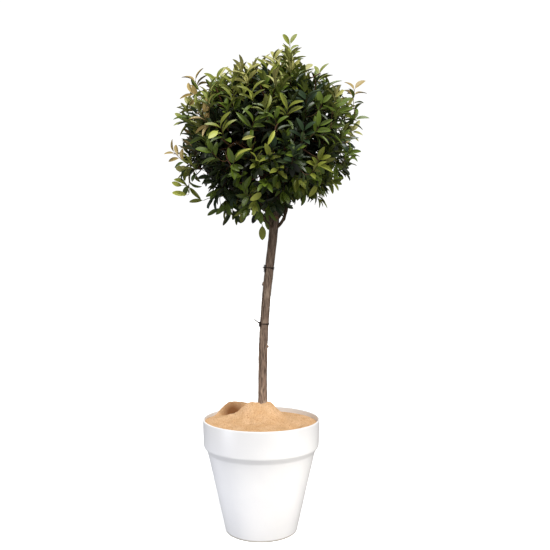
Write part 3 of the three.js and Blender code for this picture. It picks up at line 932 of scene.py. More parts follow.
@dataclass
class Trunk:
    """The slim trunk, nearly upright below, then leaning to the right up to its fork."""

    line: tuple[tuple[float, float, float], ...] = (
        (4, 0, 420),
        (6, -2, 612),
        (16, -1, 783),
        (30, 2, 913),
        (43.5, 1, 1040),
        (49, 0, 1098),
    )
    foot_radius: float = 14.8
    fork_radius: float = 15.6
    tip_radius: float = 13.0
    flare: float = 3.6
    flare_height: float = 34.0
    flare_power: float = 1.6
    neck: float = 0.93
    sides: int = 40
    steps: int = 150
    ridge: float = 0.75
    ridge_size: tuple[float, float] = (3.4, 26.0)
    bulge: float = 0.7
    bulge_size: tuple[float, float] = (0.7, 46.0)
    stubs: tuple[Stub, ...] = (
        Stub(619, -20, 5, 3.6),
        Stub(834, 190, 3.2, 6),
        Stub(1058, 292, 4.5, 7),
    )

    def __post_init__(self) -> None:
        """Lay the trunk's curve and measure how it rises."""
        self.curve = Spline(self.line)
        self.limb = Limb("trunk", self.curve, self.radius_at)
        self.shares = np.linspace(0.0, 1.0, 401)
        self.heights = self.curve.points_at(self.shares)[:, 2]

    def radius_at(self, share: float) -> float:
        """Return the radius at a share of the length."""
        body = lerp(self.foot_radius, self.fork_radius, share)
        neck = float(smoothstep(share, self.neck, 1.0)) * (self.fork_radius - self.tip_radius)
        rise = share * self.curve.length
        return body - neck + self.flare * math.exp(-rise / self.flare_height * self.flare_power)

    def share_at_height(self, height: float) -> float:
        """Return the share of the length at which the trunk passes a height."""
        return float(np.interp(height, self.heights, self.shares))

    def model_stem(self) -> bpy.types.Object:
        """Draw a ring up along the curve, scaling it to the trunk's girth, and give it bark."""
        deselect_all()
        start = self.curve.point_at(0.0)
        girth = self.radius_at(0.0)
        bpy.ops.mesh.primitive_circle_add(
            vertices=self.sides, radius=girth * MM, fill_type="NGON", location=start * MM
        )
        piece = bpy.context.object
        bpy.ops.object.mode_set(mode="EDIT")
        for step in range(1, self.steps + 1):
            share = step / self.steps
            point = self.curve.point_at(share)
            move = (point - start) * MM
            bpy.ops.mesh.extrude_region_move(TRANSFORM_OT_translate={"value": tuple(move)})
            wider = self.radius_at(share) / girth
            bpy.ops.transform.resize(value=(wider, wider, 1.0), center_override=tuple(point * MM))
            start = point
            girth = self.radius_at(share)
        finish_edit()
        settle(piece, "trunk_bark")
        self.carve(piece)
        return piece

    def carve(self, piece: bpy.types.Object) -> None:
        """Move the surface in and out as bark ridges, fissures and slight swellings."""
        heights = np.linspace(self.line[0][2], self.line[-1][2], 200)
        middles = self.curve.points_at([self.share_at_height(height) for height in heights])
        for vertex in piece.data.vertices:
            x, y, z = (value / MM for value in vertex.co)
            middle_x = float(np.interp(z, heights, middles[:, 0]))
            middle_y = float(np.interp(z, heights, middles[:, 1]))
            out = Vector((x - middle_x, y - middle_y, 0.0))
            if out.length < 1e-6:
                continue
            out.normalize()
            around, along = self.ridge_size
            fissures = noise.fractal(Vector((out.x * around, out.y * around, z / along)), 1.0, 2.1, 4)
            around, along = self.bulge_size
            swelling = noise.noise(Vector((out.x * around, out.y * around, z / along + 7.0)))
            shift = (self.ridge * fissures + self.bulge * swelling) * MM
            vertex.co = vertex.co + out * shift

    def model_stub(self, stub: Stub) -> bpy.types.Object:
        """Model one stub."""
        deselect_all()
        share = self.share_at_height(stub.height)
        out = direction_to(stub.bearing, stub.rise)
        reach = self.radius_at(share) + stub.length
        bpy.ops.mesh.primitive_cylinder_add(
            vertices=20,
            radius=stub.radius * stub.collar * MM,
            depth=reach * MM,
            rotation=Vector(out).to_track_quat("Z", "Y").to_euler(),
            location=(self.curve.point_at(share) + out * reach * 0.5) * MM,
        )
        piece = bpy.context.object
        bpy.ops.object.mode_set(mode="EDIT")
        bpy.ops.mesh.select_all(action="DESELECT")
        bpy.ops.object.mode_set(mode="OBJECT")
        for face in piece.data.polygons:
            face.select = face.normal.z > 0.9
        bpy.ops.object.mode_set(mode="EDIT")
        bpy.ops.mesh.inset(thickness=stub.radius * stub.rim * MM)
        bpy.ops.transform.translate(value=tuple(out * -stub.sunk * MM))
        bpy.ops.object.mode_set(mode="OBJECT")
        piece.data.materials.append(TRUNK_BARK.material())
        piece.data.materials.append(CUT_WOOD.material())
        for face in piece.data.polygons:
            face.material_index = int(face.select)
        round_edges(piece, stub.worn, segments=2, degrees=30)
        return settle(piece, "stub")

    def build(self) -> bpy.types.Object:
        """Model and dress the trunk with its stubs."""
        stem = self.model_stem()
        stem.data.materials.append(TRUNK_BARK.material())
        piece = join([stem, *[self.model_stub(stub) for stub in self.stubs]], "trunk_bark")
        return dress(piece, 50, ["trunk"])


@dataclass(frozen=True)
class Tie:
    """A wire tie round the trunk, wound into a knot and twisted into a tail.

    Each of its turns lies so many wires above the middle, at a slight tilt. Ring, flat and strand
    are shares of the wire's radius: how far the turns lie out, and how thick they and the two
    strands of the tail are.
    """

    node: str
    height: float
    wire: float
    tail: float
    bearing: float
    rise: float
    knot: float
    turns: tuple[tuple[float, float], ...] = ((-0.9, 0.05), (1.1, -0.06))
    ring: float = 0.9
    flat: float = 0.8
    strand: float = 0.78
    windings: float = 34.0
    twists: float = 14.0

    def build(self, trunk: Trunk, material: bpy.types.Material) -> bpy.types.Object:
        """Model and dress the tie."""
        share = trunk.share_at_height(self.height)
        middle = trunk.curve.point_at(share)
        along = trunk.curve.tangent_at(share)
        ring_radius = trunk.radius_at(share) + self.wire * self.ring
        pieces = []
        for lift, tilt in self.turns:
            deselect_all()
            bpy.ops.mesh.primitive_torus_add(
                major_radius=ring_radius * MM,
                minor_radius=self.wire * self.flat * MM,
                major_segments=40,
                minor_segments=8,
                rotation=Vector(along + np.array([tilt, tilt, 0.0])).to_track_quat("Z", "Y").to_euler(),
                location=(middle + along * lift * self.wire) * MM,
            )
            pieces.append(settle(bpy.context.object, "wire_turn"))
        piece = join([*pieces, self.model_tail(middle, ring_radius)], f"wire_{self.node}")
        piece.data.materials.clear()
        piece.data.materials.append(material)
        return dress(piece, 60, [self.node])

    def model_tail(self, middle: np.ndarray, ring_radius: float) -> bpy.types.Object:
        """Model the knot and the tail: a coil, and two wires twisted round each other.

        Args:
            middle: The trunk's middle at the tie.
            ring_radius: The radius of the turns.

        Returns:
            The piece.
        """
        out = direction_to(self.bearing, 0)
        side = np.cross(out, UP)
        root = middle + out * (ring_radius - self.wire)
        coil = np.array([
            root + out * (self.knot * 0.3 + math.cos(t * self.windings) * self.knot * 0.28)
            + side * math.sin(t * self.windings) * self.knot * 0.3
            + UP * self.knot * (0.8 - 1.9 * t + 0.1 * math.sin(t * 50.0))
            for t in np.linspace(0.0, 1.0, 97)
        ])
        store = MeshStore()
        store.add(*tube(coil, np.full(len(coil), self.wire), 6))
        bend = root + out * self.tail * 0.4 + UP * self.tail * self.rise * 0.3
        end = root + out * self.tail * 0.8 + UP * self.tail * self.rise
        curve = Bezier(root, bend, end)
        strand = self.wire * self.strand
        for start in (0.0, math.pi):
            points = np.array([
                curve.point(t) + leaning(curve.tangent(t), math.pi / 2, start + t * self.twists) * strand
                for t in np.linspace(0.0, 1.0, 33)
            ])
            store.add(*tube(points, np.full(len(points), strand), 6))
        return store.piece("wire_tail")


TIES = (
    Tie("tie_lower", height=702, wire=1.3, tail=28, bearing=206, rise=0.62, knot=8.0),
    Tie("tie_upper", height=893, wire=1.3, tail=15, bearing=216, rise=0.1, knot=12.0),
)


@dataclass(frozen=True)
class BoughRow:
    """A bough and its mass of foliage, as the part's source lists them.

    Bearing is from the right towards the back and elevation from level, seen from the crown's
    middle. "proud" is how far the leading shoot stands out of the crown. The bough ends "entry"
    from that middle. "at" is the share of the parent's length where it springs from the parent.
    There it swings off by "swing" degrees and is "girth" in radius.
    """

    name: str
    bearing: float
    elevation: float
    proud: float
    entry: float
    parent: str
    at: float
    swing: float
    girth: float

    @property
    def outward(self) -> np.ndarray:
        """Return the mass's direction from the crown's middle."""
        return direction_to(self.bearing, self.elevation)

    @property
    def storey(self) -> str:
        """Return the storey of the crown that the mass is in."""
        return "upper" if self.name == "top" else self.name.split("_")[0]


BOUGH_ROWS = tuple(BoughRow(*row) for row in (
    ("top", 0, 77, 48, 150, "trunk", 1, 0, 10.5),
    ("upper_left", 180, 43, 10, 138, "top", 0.1, 38, 6.6),
    ("upper_right", 2, 47, 6, 138, "top", 0.42, 42, 5),
    ("upper_back_right", 58, 44, 0, 138, "top", 0.6, 42, 4.8),
    ("upper_back_left", 122, 46, 4, 138, "top", 0.5, 42, 4.8),
    ("upper_front_left", 238, 45, 4, 138, "upper_left", 0.55, 40, 4.6),
    ("upper_front_right", 302, 46, 0, 138, "top", 0.34, 42, 5),
    ("middle_right", 0, 23, 24, 135, "trunk", 0.94, 44, 7.6),
    ("middle_back_right", 44, 10, 0, 135, "middle_right", 0.45, 45, 4.6),
    ("middle_back", 88, 13, 6, 135, "trunk", 0.945, 46, 7.2),
    ("middle_back_left", 134, 9, 0, 135, "middle_back", 0.5, 45, 4.6),
    ("middle_left", 180, 7, 18, 140, "lower_left", 0.5, 40, 4.8),
    ("middle_front_left", 227, 12, 4, 135, "upper_left", 0.3, 45, 5),
    ("middle_front", 271, 9, 0, 135, "trunk", 0.965, 50, 7.2),
    ("middle_front_right", 316, 13, 0, 135, "middle_front", 0.45, 45, 4.8),
    ("lower_right", 8, -13, 4, 150, "middle_right", 0.36, 45, 5),
    ("lower_back_right", 62, -24, 0, 155, "middle_back", 0.28, 45, 4.8),
    ("lower_back_left", 118, -26, 4, 155, "middle_back", 0.36, 45, 4.8),
    ("lower_left", 180, -29, 20, 175, "trunk", 0.955, 66, 6.6),
    ("lower_front_left", 238, -24, 0, 155, "middle_front", 0.28, 45, 4.8),
    ("lower_front_right", 300, -24, 0, 155, "middle_front", 0.36, 45, 4.8),
    ("under_right", 346, -49, 6, 182, "trunk", 0.895, 64, 5.4),
    ("under_back", 92, -58, 0, 178, "trunk", 0.885, 62, 4.8),
    ("under_left", 184, -61, 12, 225, "trunk", 0.9, 56, 4.2),
    ("under_front", 266, -58, 0, 186, "trunk", 0.89, 62, 4.4),
))


@dataclass
class Crown:
    """The crown's outline and the limbs inside it.

    The reach is given for every 30 degrees from straight down to straight up, on the right and
    on the left, seen from the front.
    """

    trunk: Trunk
    middle: np.ndarray = field(default_factory=lambda: np.array([22.0, 0.0, 1358.0]))
    right_reach: tuple[float, ...] = (292, 288, 306, 330, 344, 292, 290)
    left_reach: tuple[float, ...] = (292, 334, 374, 322, 312, 264, 290)
    gap: float = 0.3
    tip_radius: float = 4.4
    taper: float = 0.8
    foot_handle: float = 0.36
    tip_handle: float = 0.34
    onwards: float = 0.6
    lift: float = 0.4
    stretches: int = 10

    def __post_init__(self) -> None:
        """Lay all the boughs, each after its parent."""
        self.limbs: dict[str, Limb] = {"trunk": self.trunk.limb}
        waiting = list(BOUGH_ROWS)
        while waiting:
            row = waiting.pop(0)
            if row.parent in self.limbs:
                self.limbs[row.name] = self.lay_bough(row)
            else:
                waiting.append(row)
        self.outwards = np.array([row.outward for row in BOUGH_ROWS])
        self.measure_limbs()

    def lay_bough(self, row: BoughRow) -> Limb:
        """Lay a bough that leaves its parent's middle, swings out and enters its mass."""
        parent = self.limbs[row.parent]
        end = self.middle + row.outward * row.entry
        start = parent.curve.point_at(row.at)
        along = parent.curve.tangent_at(row.at)
        if row.at == 1:
            start = start + along * self.gap
        span = float(np.linalg.norm(end - start))
        towards = unit(end - start)
        swing = math.radians(row.swing)
        sideways = unit(towards - along * float(towards @ along))
        leave = along * math.cos(swing) + sideways * math.sin(swing)
        level = unit(np.array([row.outward[0], row.outward[1], max(row.outward[2], 0.0)]))
        rise = UP * (self.lift * (1 + row.outward[2]) / 2)
        arrive = unit(level + towards * self.onwards + rise)
        foot = start + leave * span * self.foot_handle
        tip = end - arrive * span * self.tip_handle
        return Limb(
            row.name,
            Bezier(start, foot, tip, end),
            lambda share: lerp(row.girth, self.tip_radius, share**self.taper),
        )

    def measure_limbs(self) -> None:
        """Cut the limbs into short stretches, for measuring the room among them."""
        starts, ends, radii = [], [], []
        for limb in self.limbs.values():
            shares = np.linspace(0.0, 1.0, self.stretches + 1)
            points = limb.curve.points_at(shares)
            starts.extend(points[:-1])
            ends.extend(points[1:])
            radii.extend(max(limb.radius_at(a), limb.radius_at(b)) for a, b in zip(shares, shares[1:]))
        self.starts = np.array(starts)
        self.spans = np.array(ends) - self.starts
        self.radii = np.array(radii)

    def reach(self, directions: np.ndarray) -> np.ndarray:
        """Return how far the crown reaches from its middle in each direction."""
        sides = np.array([self.left_reach, self.right_reach], float)
        rise = np.arcsin(np.clip(directions[:, 2], -1.0, 1.0))
        step = (rise / math.pi + 0.5) * (sides.shape[1] - 1)
        below = np.minimum(np.floor(step).astype(int), sides.shape[1] - 2)
        share = smoothstep(step - below, 0.0, 1.0)
        left, right = sides[:, below] + (sides[:, below + 1] - sides[:, below]) * share
        flat = np.hypot(directions[:, 0], directions[:, 1])
        rightness = np.where(flat > 1e-6, (1 + directions[:, 0] / np.maximum(flat, 1e-9)) / 2, 0.5)
        return left + (right - left) * rightness

    def beyond(self, points: np.ndarray) -> np.ndarray:
        """Return how far outside the crown's reach each point lies; negative inside."""
        offsets = points - self.middle
        distances = np.linalg.norm(offsets, axis=1)
        return distances - self.reach(offsets / np.maximum(distances, 1e-9)[:, None])

    def room_in_space(self, points: np.ndarray, index: int) -> np.ndarray:
        """Return each point's distance from the sides of a mass's own space; negative outside."""
        walls = self.outwards[index] - np.delete(self.outwards, index, axis=0)
        walls = walls / np.linalg.norm(walls, axis=1)[:, None]
        return ((points - self.middle) @ walls.T).min(axis=1)

    def room_among_limbs(self, points: np.ndarray) -> np.ndarray:
        """Return each point's distance from the nearest bark."""
        offsets = points[:, None, :] - self.starts[None]
        lengths = (self.spans**2).sum(axis=1)
        shares = np.clip((offsets * self.spans).sum(axis=2) / lengths, 0.0, 1.0)
        nearest = offsets - shares[..., None] * self.spans
        return (np.linalg.norm(nearest, axis=2) - self.radii).min(axis=1)


@dataclass
class Boughs:
    """All the boughs, joined, with a relief of bark."""

    crown: Crown
    sides: int = 14
    steps: int = 44
    ridge: float = 0.42
    ridge_size: tuple[float, float] = (1.6, 15.0)
    knuckle: float = 0.5
    knuckle_length: float = 2.2

    def radii(self, limb: Limb, order: int) -> np.ndarray:
        """Return the radius of every corner of every ring."""
        around, along = self.ridge_size
        angles = [corner * 2 * math.pi / self.sides for corner in range(self.sides)]
        rows = []
        for share in np.linspace(0.0, 1.0, self.steps + 1):
            girth = limb.radius_at(share)
            place = share * limb.curve.length
            collar = 1.0 + self.knuckle * math.exp(-place / (girth * self.knuckle_length))
            spots = [
                Vector((math.cos(angle) * around, math.sin(angle) * around + order * 9.0, place / along))
                for angle in angles
            ]
            rows.append([girth * collar + self.ridge * noise.fractal(spot, 1.0, 2.0, 3) for spot in spots])
        return np.array(rows)

    def build(self) -> bpy.types.Object:
        """Model and dress the boughs."""
        store = MeshStore()
        shares = np.linspace(0.0, 1.0, self.steps + 1)
        for order, row in enumerate(BOUGH_ROWS):
            limb = self.crown.limbs[row.name]
            store.add(*tube(limb.curve.points_at(shares), self.radii(limb, order), self.sides))
        piece = store.piece("boughs_bark", [BOUGH_BARK.material()])
        return dress(piece, 60, [f"bough_{row.name}" for row in BOUGH_ROWS])


# The foliage


@dataclass(frozen=True)
class LeafShape:
    """A bay leaf: a short stalk and a blade, folded at its midrib and arched.

    The outline gives the half width, as a share of the greatest, at shares of the length. Fold,
    arch and sway are how far the edges rise, the tip sinks and the tip turns aside.
    """

    length: float
    width: float
    outline: tuple[tuple[float, float], ...]
    fold: float
    arch: float
    sway: float
    thickness: float = 0.9

    def model(self) -> Pattern:
        """Model the leaf along +Y with its upper side facing +Z.

        Returns:
            The corners in millimetres, the faces, and for each face whether it is underneath.
        """
        deselect_all()
        half_width = self.width / 2
        start = self.outline[0][1] * half_width
        bpy.ops.mesh.primitive_circle_add(
            vertices=4, radius=1.0, fill_type="NGON", rotation=(math.pi / 2, 0.0, 0.0)
        )
        piece = bpy.context.object
        bpy.ops.object.transform_apply(location=False, rotation=True, scale=False)
        bpy.ops.object.mode_set(mode="EDIT")
        section = (start, 1.0, self.thickness / 2)
        bpy.ops.transform.resize(value=section, center_override=(0, 0, 0))
        for (place, half), (next_place, next_half) in zip(self.outline, self.outline[1:]):
            step = (next_place - place) * self.length
            bpy.ops.mesh.extrude_region_move(TRANSFORM_OT_translate={"value": (0.0, step, 0.0)})
            if next_half > 0:
                middle = (0, next_place * self.length, 0)
                bpy.ops.transform.resize(value=(next_half / half, 1.0, 1.0), center_override=middle)
            else:
                bpy.ops.mesh.merge(type="CENTER")
        finish_edit()
        mesh = piece.data
        under = np.array([face.normal.z < 0 for face in mesh.polygons])
        faces = [tuple(face.vertices) for face in mesh.polygons]
        corners = np.array([vertex.co for vertex in mesh.vertices])
        bpy.data.objects.remove(piece)
        along = corners[:, 1] / self.length
        corners[:, 2] += self.fold * np.abs(corners[:, 0]) - self.arch * self.length * along**2
        corners[:, 0] += self.sway * self.length * along**2
        return corners, faces, under


SLENDER = (
    (0.0, 0.12), (0.1, 0.16), (0.27, 0.54), (0.47, 0.88),
    (0.66, 1.0), (0.84, 0.8), (0.95, 0.4), (1.0, 0.0),
)
BLUNT = (
    (0.0, 0.08), (0.1, 0.1), (0.22, 0.56), (0.4, 0.92),
    (0.58, 1.0), (0.77, 0.84), (0.92, 0.48), (1.0, 0.0),
)
YOUNG_LEAVES = (
    LeafShape(49, 14, SLENDER, fold=0.78, arch=0.34, sway=0.05),
    LeafShape(51, 13.5, SLENDER, fold=0.92, arch=0.5, sway=-0.07),
    LeafShape(48, 14.5, SLENDER, fold=0.7, arch=0.56, sway=0.08),
)
GROWN_LEAVES = (
    LeafShape(51, 15, BLUNT, fold=0.65, arch=0.3, sway=0.06),
    LeafShape(54, 14.5, BLUNT, fold=0.82, arch=0.46, sway=-0.1),
    LeafShape(50, 15.5, BLUNT, fold=0.55, arch=0.38, sway=0.03),
    LeafShape(53, 14, BLUNT, fold=0.9, arch=0.56, sway=0.12),
)
BROAD_LEAVES = (
    LeafShape(45, 19, BLUNT, fold=0.35, arch=0.22, sway=0.05),
    LeafShape(43, 18.5, BLUNT, fold=0.55, arch=0.38, sway=-0.08),
    LeafShape(48, 18, BLUNT, fold=0.45, arch=0.3, sway=0.11),
)
LEAF_SHAPES = YOUNG_LEAVES + GROWN_LEAVES + BROAD_LEAVES


@dataclass(frozen=True)
class Leaf:
    """Where a leaf stands and what it looks like."""

    foot: np.ndarray
    heading: np.ndarray
    facing: np.ndarray
    size: float
    shape: int
    tint: Tint

    def basis(self) -> np.ndarray:
        """Return the rows of its side, its heading and its upper side."""
        side = unit(np.cross(self.heading, self.facing))
        return np.array([side, self.heading, np.cross(side, self.heading)])

    def reach(self, share: float) -> np.ndarray:
        """Return the point on its midrib at a share of its length."""
        shape = LEAF_SHAPES[self.shape]
        length = shape.length * self.size
        place = np.array([shape.sway * share**2, share, -shape.arch * share**2]) * length
        return self.foot + place @ self.basis()


@dataclass(frozen=True)
class Spray:
    """What a fine twig becomes: where and which way it ends, and how its end is clothed.

    Clothed is the length of the stretch with leaves, of which there are no more than stated. In
    a ranked spray the leaves at the tip stand in pairs, to the left and right as seen. The tint
    is that of the youngest leaves, and is dealt out where none is given.
    """

    end: np.ndarray
    heading: np.ndarray
    clothed: float
    leaves: int
    ranked: bool = False
    tint: Tint | None = None


@dataclass(frozen=True)
class LeadingShoot:
    """A shoot of the crown's outline, by where its twig ends.

    x and z are where the end shows on the upright plane through the pot's middle, and depth is
    how far it is behind that plane. The end points along angle, in degrees from the right as
    seen from the front, and leans back or forward by its depth. Leaves clothe the last stretch
    of it. A tint is given where the photograph shows one that differs from its neighbours.
    """

    x: float
    z: float
    depth: float
    angle: float
    clothed: float
    tint: Tint | None = None

    def spray(self, eye: np.ndarray) -> Spray:
        """Return the spray that shows at the shoot's place in the picture.

        Args:
            eye: The camera's place.

        Returns:
            The spray, with one leaf where the clothed stretch is too short for a pair.
        """
        seen = np.array([self.x, 0.0, self.z])
        end = eye + (seen - eye) * (self.depth - eye[1]) / -eye[1]
        turn = math.radians(self.angle)
        heading = unit(np.array([math.cos(turn), self.depth / CROWN_RADIUS, math.sin(turn)]))
        pairs = int(self.clothed / INTERNODE)
        leaves = 3 + 2 * pairs if self.clothed > INTERNODE / 2 else 1
        return Spray(end, heading, self.clothed, leaves, ranked=True, tint=self.tint)


LEADING_SHOOTS = tuple(LeadingShoot(*row) for row in (
    (98, 1656, 0, 92, 120, Tint.OLIVE),
    (45, 1600, -40, 98, 60),
    (2, 1578, 20, 108, 60),
    (-42, 1562, 30, 95, 60),
    (-99, 1557, -20, 88, 80),
    (-138, 1538, 40, 112, 60),
    (-226, 1534, 0, 100, 70, Tint.BRONZE),
    (-236, 1487, -40, 150, 60, Tint.BRONZE),
    (-246, 1446, 20, 140, 50),
    (-262, 1392, 10, 160, 70, Tint.OLIVE),
    (-299, 1288, -30, 134, 110, Tint.BRONZE),
    (-262, 1221, 40, 176, 50, Tint.YOUNG),
    (-262, 1187, -20, 118, 48, Tint.OLIVE),
    (-270, 1174, -20, 192, 5, Tint.LIME),
    (-254, 1142, -20, 192, 5, Tint.LIME),
    (-198, 1124, -10, 213, 5, Tint.OLIVE),
    (-142, 1098, 0, 232, 5, Tint.GREEN),
    (-120, 1112, -60, 262, 30, Tint.GREEN),
    (-101, 1090, -30, 270, 30, Tint.DARK),
    (-53, 1086, 10, 268, 30, Tint.DARK),
    (-8, 1088, -30, 262, 30, Tint.DEEP),
    (78, 1112, -40, 280, 30, Tint.DARK),
    (146, 1152, -30, 300, 46, Tint.GREEN),
    (190, 1182, -90, 278, 5, Tint.LIME),
    (243, 1188, 10, 338, 24),
    (255, 1246, -40, 296, 24, Tint.GREEN),
    (296, 1282, 20, 354, 50),
    (288, 1322, -20, 6, 60),
    (310, 1358, 30, 18, 50, Tint.YOUNG),
    (320, 1400, -10, 46, 60),
    (319, 1504, 0, 78, 76, Tint.BRONZE),
    (229, 1508, -30, 80, 60),
    (198, 1556, 10, 86, 80),
    (142, 1568, 40, 66, 50),
))
FRONT_SHOOTS = tuple(LeadingShoot(*row) for row in (
    (91, 1438, -262, 84, 60),
    (154, 1472, -225, 88, 60),
    (208, 1456, -190, 70, 60),
    (146, 1362, -255, 76, 60),
    (197, 1378, -220, 60, 60),
    (268, 1444, -100, 70, 60),
    (-53, 1548, -200, 95, 60),
    (-101, 1520, -200, 100, 60),
    (-152, 1532, -150, 105, 60),
    (-32, 1492, -250, 95, 60),
    (23, 1574, -170, 90, 60),
    (-94, 1254, -250, 85, 30),
    (-90, 1264, -262, 84, 5, Tint.LIME),
    (-148, 1362, -250, 272, 5, Tint.LIME),
    (-24, 1342, -280, 240, 5, Tint.YOUNG),
    (4, 1152, -190, 256, 5, Tint.LIME),
    (47, 1364, -290, 290, 5, Tint.LIME),
    (-140, 1376, -245, 110, 50),
    (-193, 1404, -190, 120, 60),
    (-26, 1394, -280, 64, 60),
    (48, 1404, -280, 100, 60),
    (236, 1370, -170, 50, 60),
    (-170, 1290, -220, 130, 50),
    (200, 1262, -190, 56, 50),
    (-56, 1160, -170, 96, 40, Tint.GREEN),
))


@dataclass(frozen=True)
class Gap:
    """A round gap between the leaves, by where it shows, as for a shoot."""

    x: float
    z: float
    size: float

    def covers(self, seen: np.ndarray) -> np.ndarray:
        """Return which points, as they show, lie inside the gap."""
        return np.hypot(seen[..., 0] - self.x, seen[..., 2] - self.z) < self.size


HOLLOWS = tuple(Gap(*row) for row in (
    (-84, 1338, 44), (100, 1222, 36), (168, 1424, 26), (158, 1300, 34), (10, 1326, 30),
    (-140, 1434, 22), (20, 1486, 22), (214, 1322, 26), (-6, 1214, 30), (-172, 1200, 26),
    (46, 1152, 30), (-110, 1186, 24), (166, 1510, 18),
))
SKY_GAPS = tuple(Gap(*row) for row in (
    (-198, 1218, 11), (-135, 1126, 11), (-10, 1204, 12), (22, 1218, 6), (-127, 1280, 4),
    (-181, 1177, 7), (-98, 1361, 5), (12, 1292, 4), (-22, 1235, 4), (5, 1084, 9),
    (-36, 1084, 7), (-80, 1101, 4), (-42, 1056, 15), (-16, 1038, 14), (8, 1026, 12),
    (39, 1177, 5), (60, 1250, 5), (-110, 1165, 4), (64, 1130, 4), (120, 1321, 4),
    (198, 1324, 4), (186, 1287, 5), (245, 1233, 8), (34, 1578, 7), (17, 1377, 4),
    (-186, 1507, 8), (-184, 1463, 4), (-213, 1414, 6), (164, 1456, 5), (225, 1416, 6),
    (262, 1389, 6), (257, 1355, 6),
))


@dataclass(frozen=True)
class Shell:
    """A layer of the crown in which twigs end, evenly spread by the golden angle."""

    count: int
    depth: float
    depth_varies: float
    turn: float
    leaves: int
    clothed: float


SWELL = (
    (0, 24), (30, -10), (58, -22), (72, 44), (88, 40), (100, 6), (140, -8), (160, 26), (180, -4),
    (190, 4), (205, -34), (220, -96), (232, 0), (245, 10), (270, 22), (290, -4), (306, 16), (330, 4),
)
SHELLS = (
    Shell(count=180, depth=222, depth_varies=30, turn=0.0, leaves=8, clothed=80),
    Shell(count=380, depth=142, depth_varies=34, turn=1.1, leaves=9, clothed=70),
    Shell(count=800, depth=66, depth_varies=34, turn=2.3, leaves=11, clothed=66),
)


class TintRule:
    """How sprays get their tints: young and light on top and outside, deep within. The tints are
    partly the leaves' own colour by age and partly painted light and shade: lighter where light
    falls on the top and outside, near black deep within where shade falls.

    A spray's light is a sum of shares times weights. Places up the crown are shares of its
    height, and depths are how far within the crown's reach a spray ends.
    """

    FOOT = 1084.0
    HEIGHT = 520.0
    DEPTHS = (-170.0, -45.0)
    CREST_ZONE = (0.6, 0.9)
    FOOT_ZONE = (0.35, 0.1)
    WAIST = 0.41
    WAIST_ZONE = (0.2, 0.08)
    BY_HEIGHT = 0.24
    BY_OUTNESS = 0.6
    ON_CREST = 0.13
    AT_FOOT = 0.06
    AT_WAIST = 0.07
    BY_CHANCE = 0.4
    LIMITS = (
        (0.26, Tint.DEEP),
        (0.42, Tint.DARK),
        (0.52, Tint.BLUISH),
        (0.7, Tint.GREEN),
        (0.86, Tint.OLIVE),
    )
    FLANK_FOOT = 1250.0
    FLANKS = (-160.0, 260.0)
    BRONZE_CHANCE = 0.15
    OUTERMOST = 0.7
    CREST = 1490.0
    SECOND_AGE = 5
    THIRD_AGE = 7
    OLDER = {
        Tint.YOUNG: Tint.OLIVE,
        Tint.OLIVE: Tint.GREEN,
        Tint.BRONZE: Tint.GREEN,
        Tint.GREEN: Tint.DARK,
        Tint.LIME: Tint.GREEN,
        Tint.BLUISH: Tint.DARK,
    }

    def deal(self, tip: np.ndarray, beyond: float, random: RandomStream) -> Tint:
        """Deal a spray its tint.

        Args:
            tip: Where it ends.
            beyond: How far that is outside the crown's reach.
            random: The numbers that it is dealt by.

        Returns:
            The tint of its youngest leaves.
        """
        height = (tip[2] - self.FOOT) / self.HEIGHT
        outness = float(smoothstep(beyond, *self.DEPTHS))
        crest = float(smoothstep(height, *self.CREST_ZONE))
        foot = float(smoothstep(height, *self.FOOT_ZONE))
        waist = float(smoothstep(abs(height - self.WAIST), *self.WAIST_ZONE))
        # Painted light and shade: height, outness, crest and foot lighten the tint, and the waist darkens
        # it.
        light = self.BY_HEIGHT * height + self.BY_OUTNESS * outness
        light = light + self.ON_CREST * crest + self.AT_FOOT * foot - self.AT_WAIST * waist
        light += self.BY_CHANCE * (random() - 0.5)
        flank = tip[2] > self.FLANK_FOOT and not self.FLANKS[0] <= tip[0] <= self.FLANKS[1]
        if random() > 1 - self.BRONZE_CHANCE and flank and outness > self.OUTERMOST:
            return Tint.BRONZE
        return next((tint for limit, tint in self.LIMITS if light < limit), Tint.YOUNG)

    def aged(self, tint: Tint, number: int, tip: np.ndarray) -> Tint:
        """Return the tint of a spray's leaf by its number from the tip; the crest stays younger."""
        if number >= self.SECOND_AGE:
            tint = self.OLDER.get(tint, Tint.DEEP)
        if number >= self.THIRD_AGE and tip[2] <= self.CREST:
            tint = self.OLDER.get(tint, Tint.DEEP)
        return tint


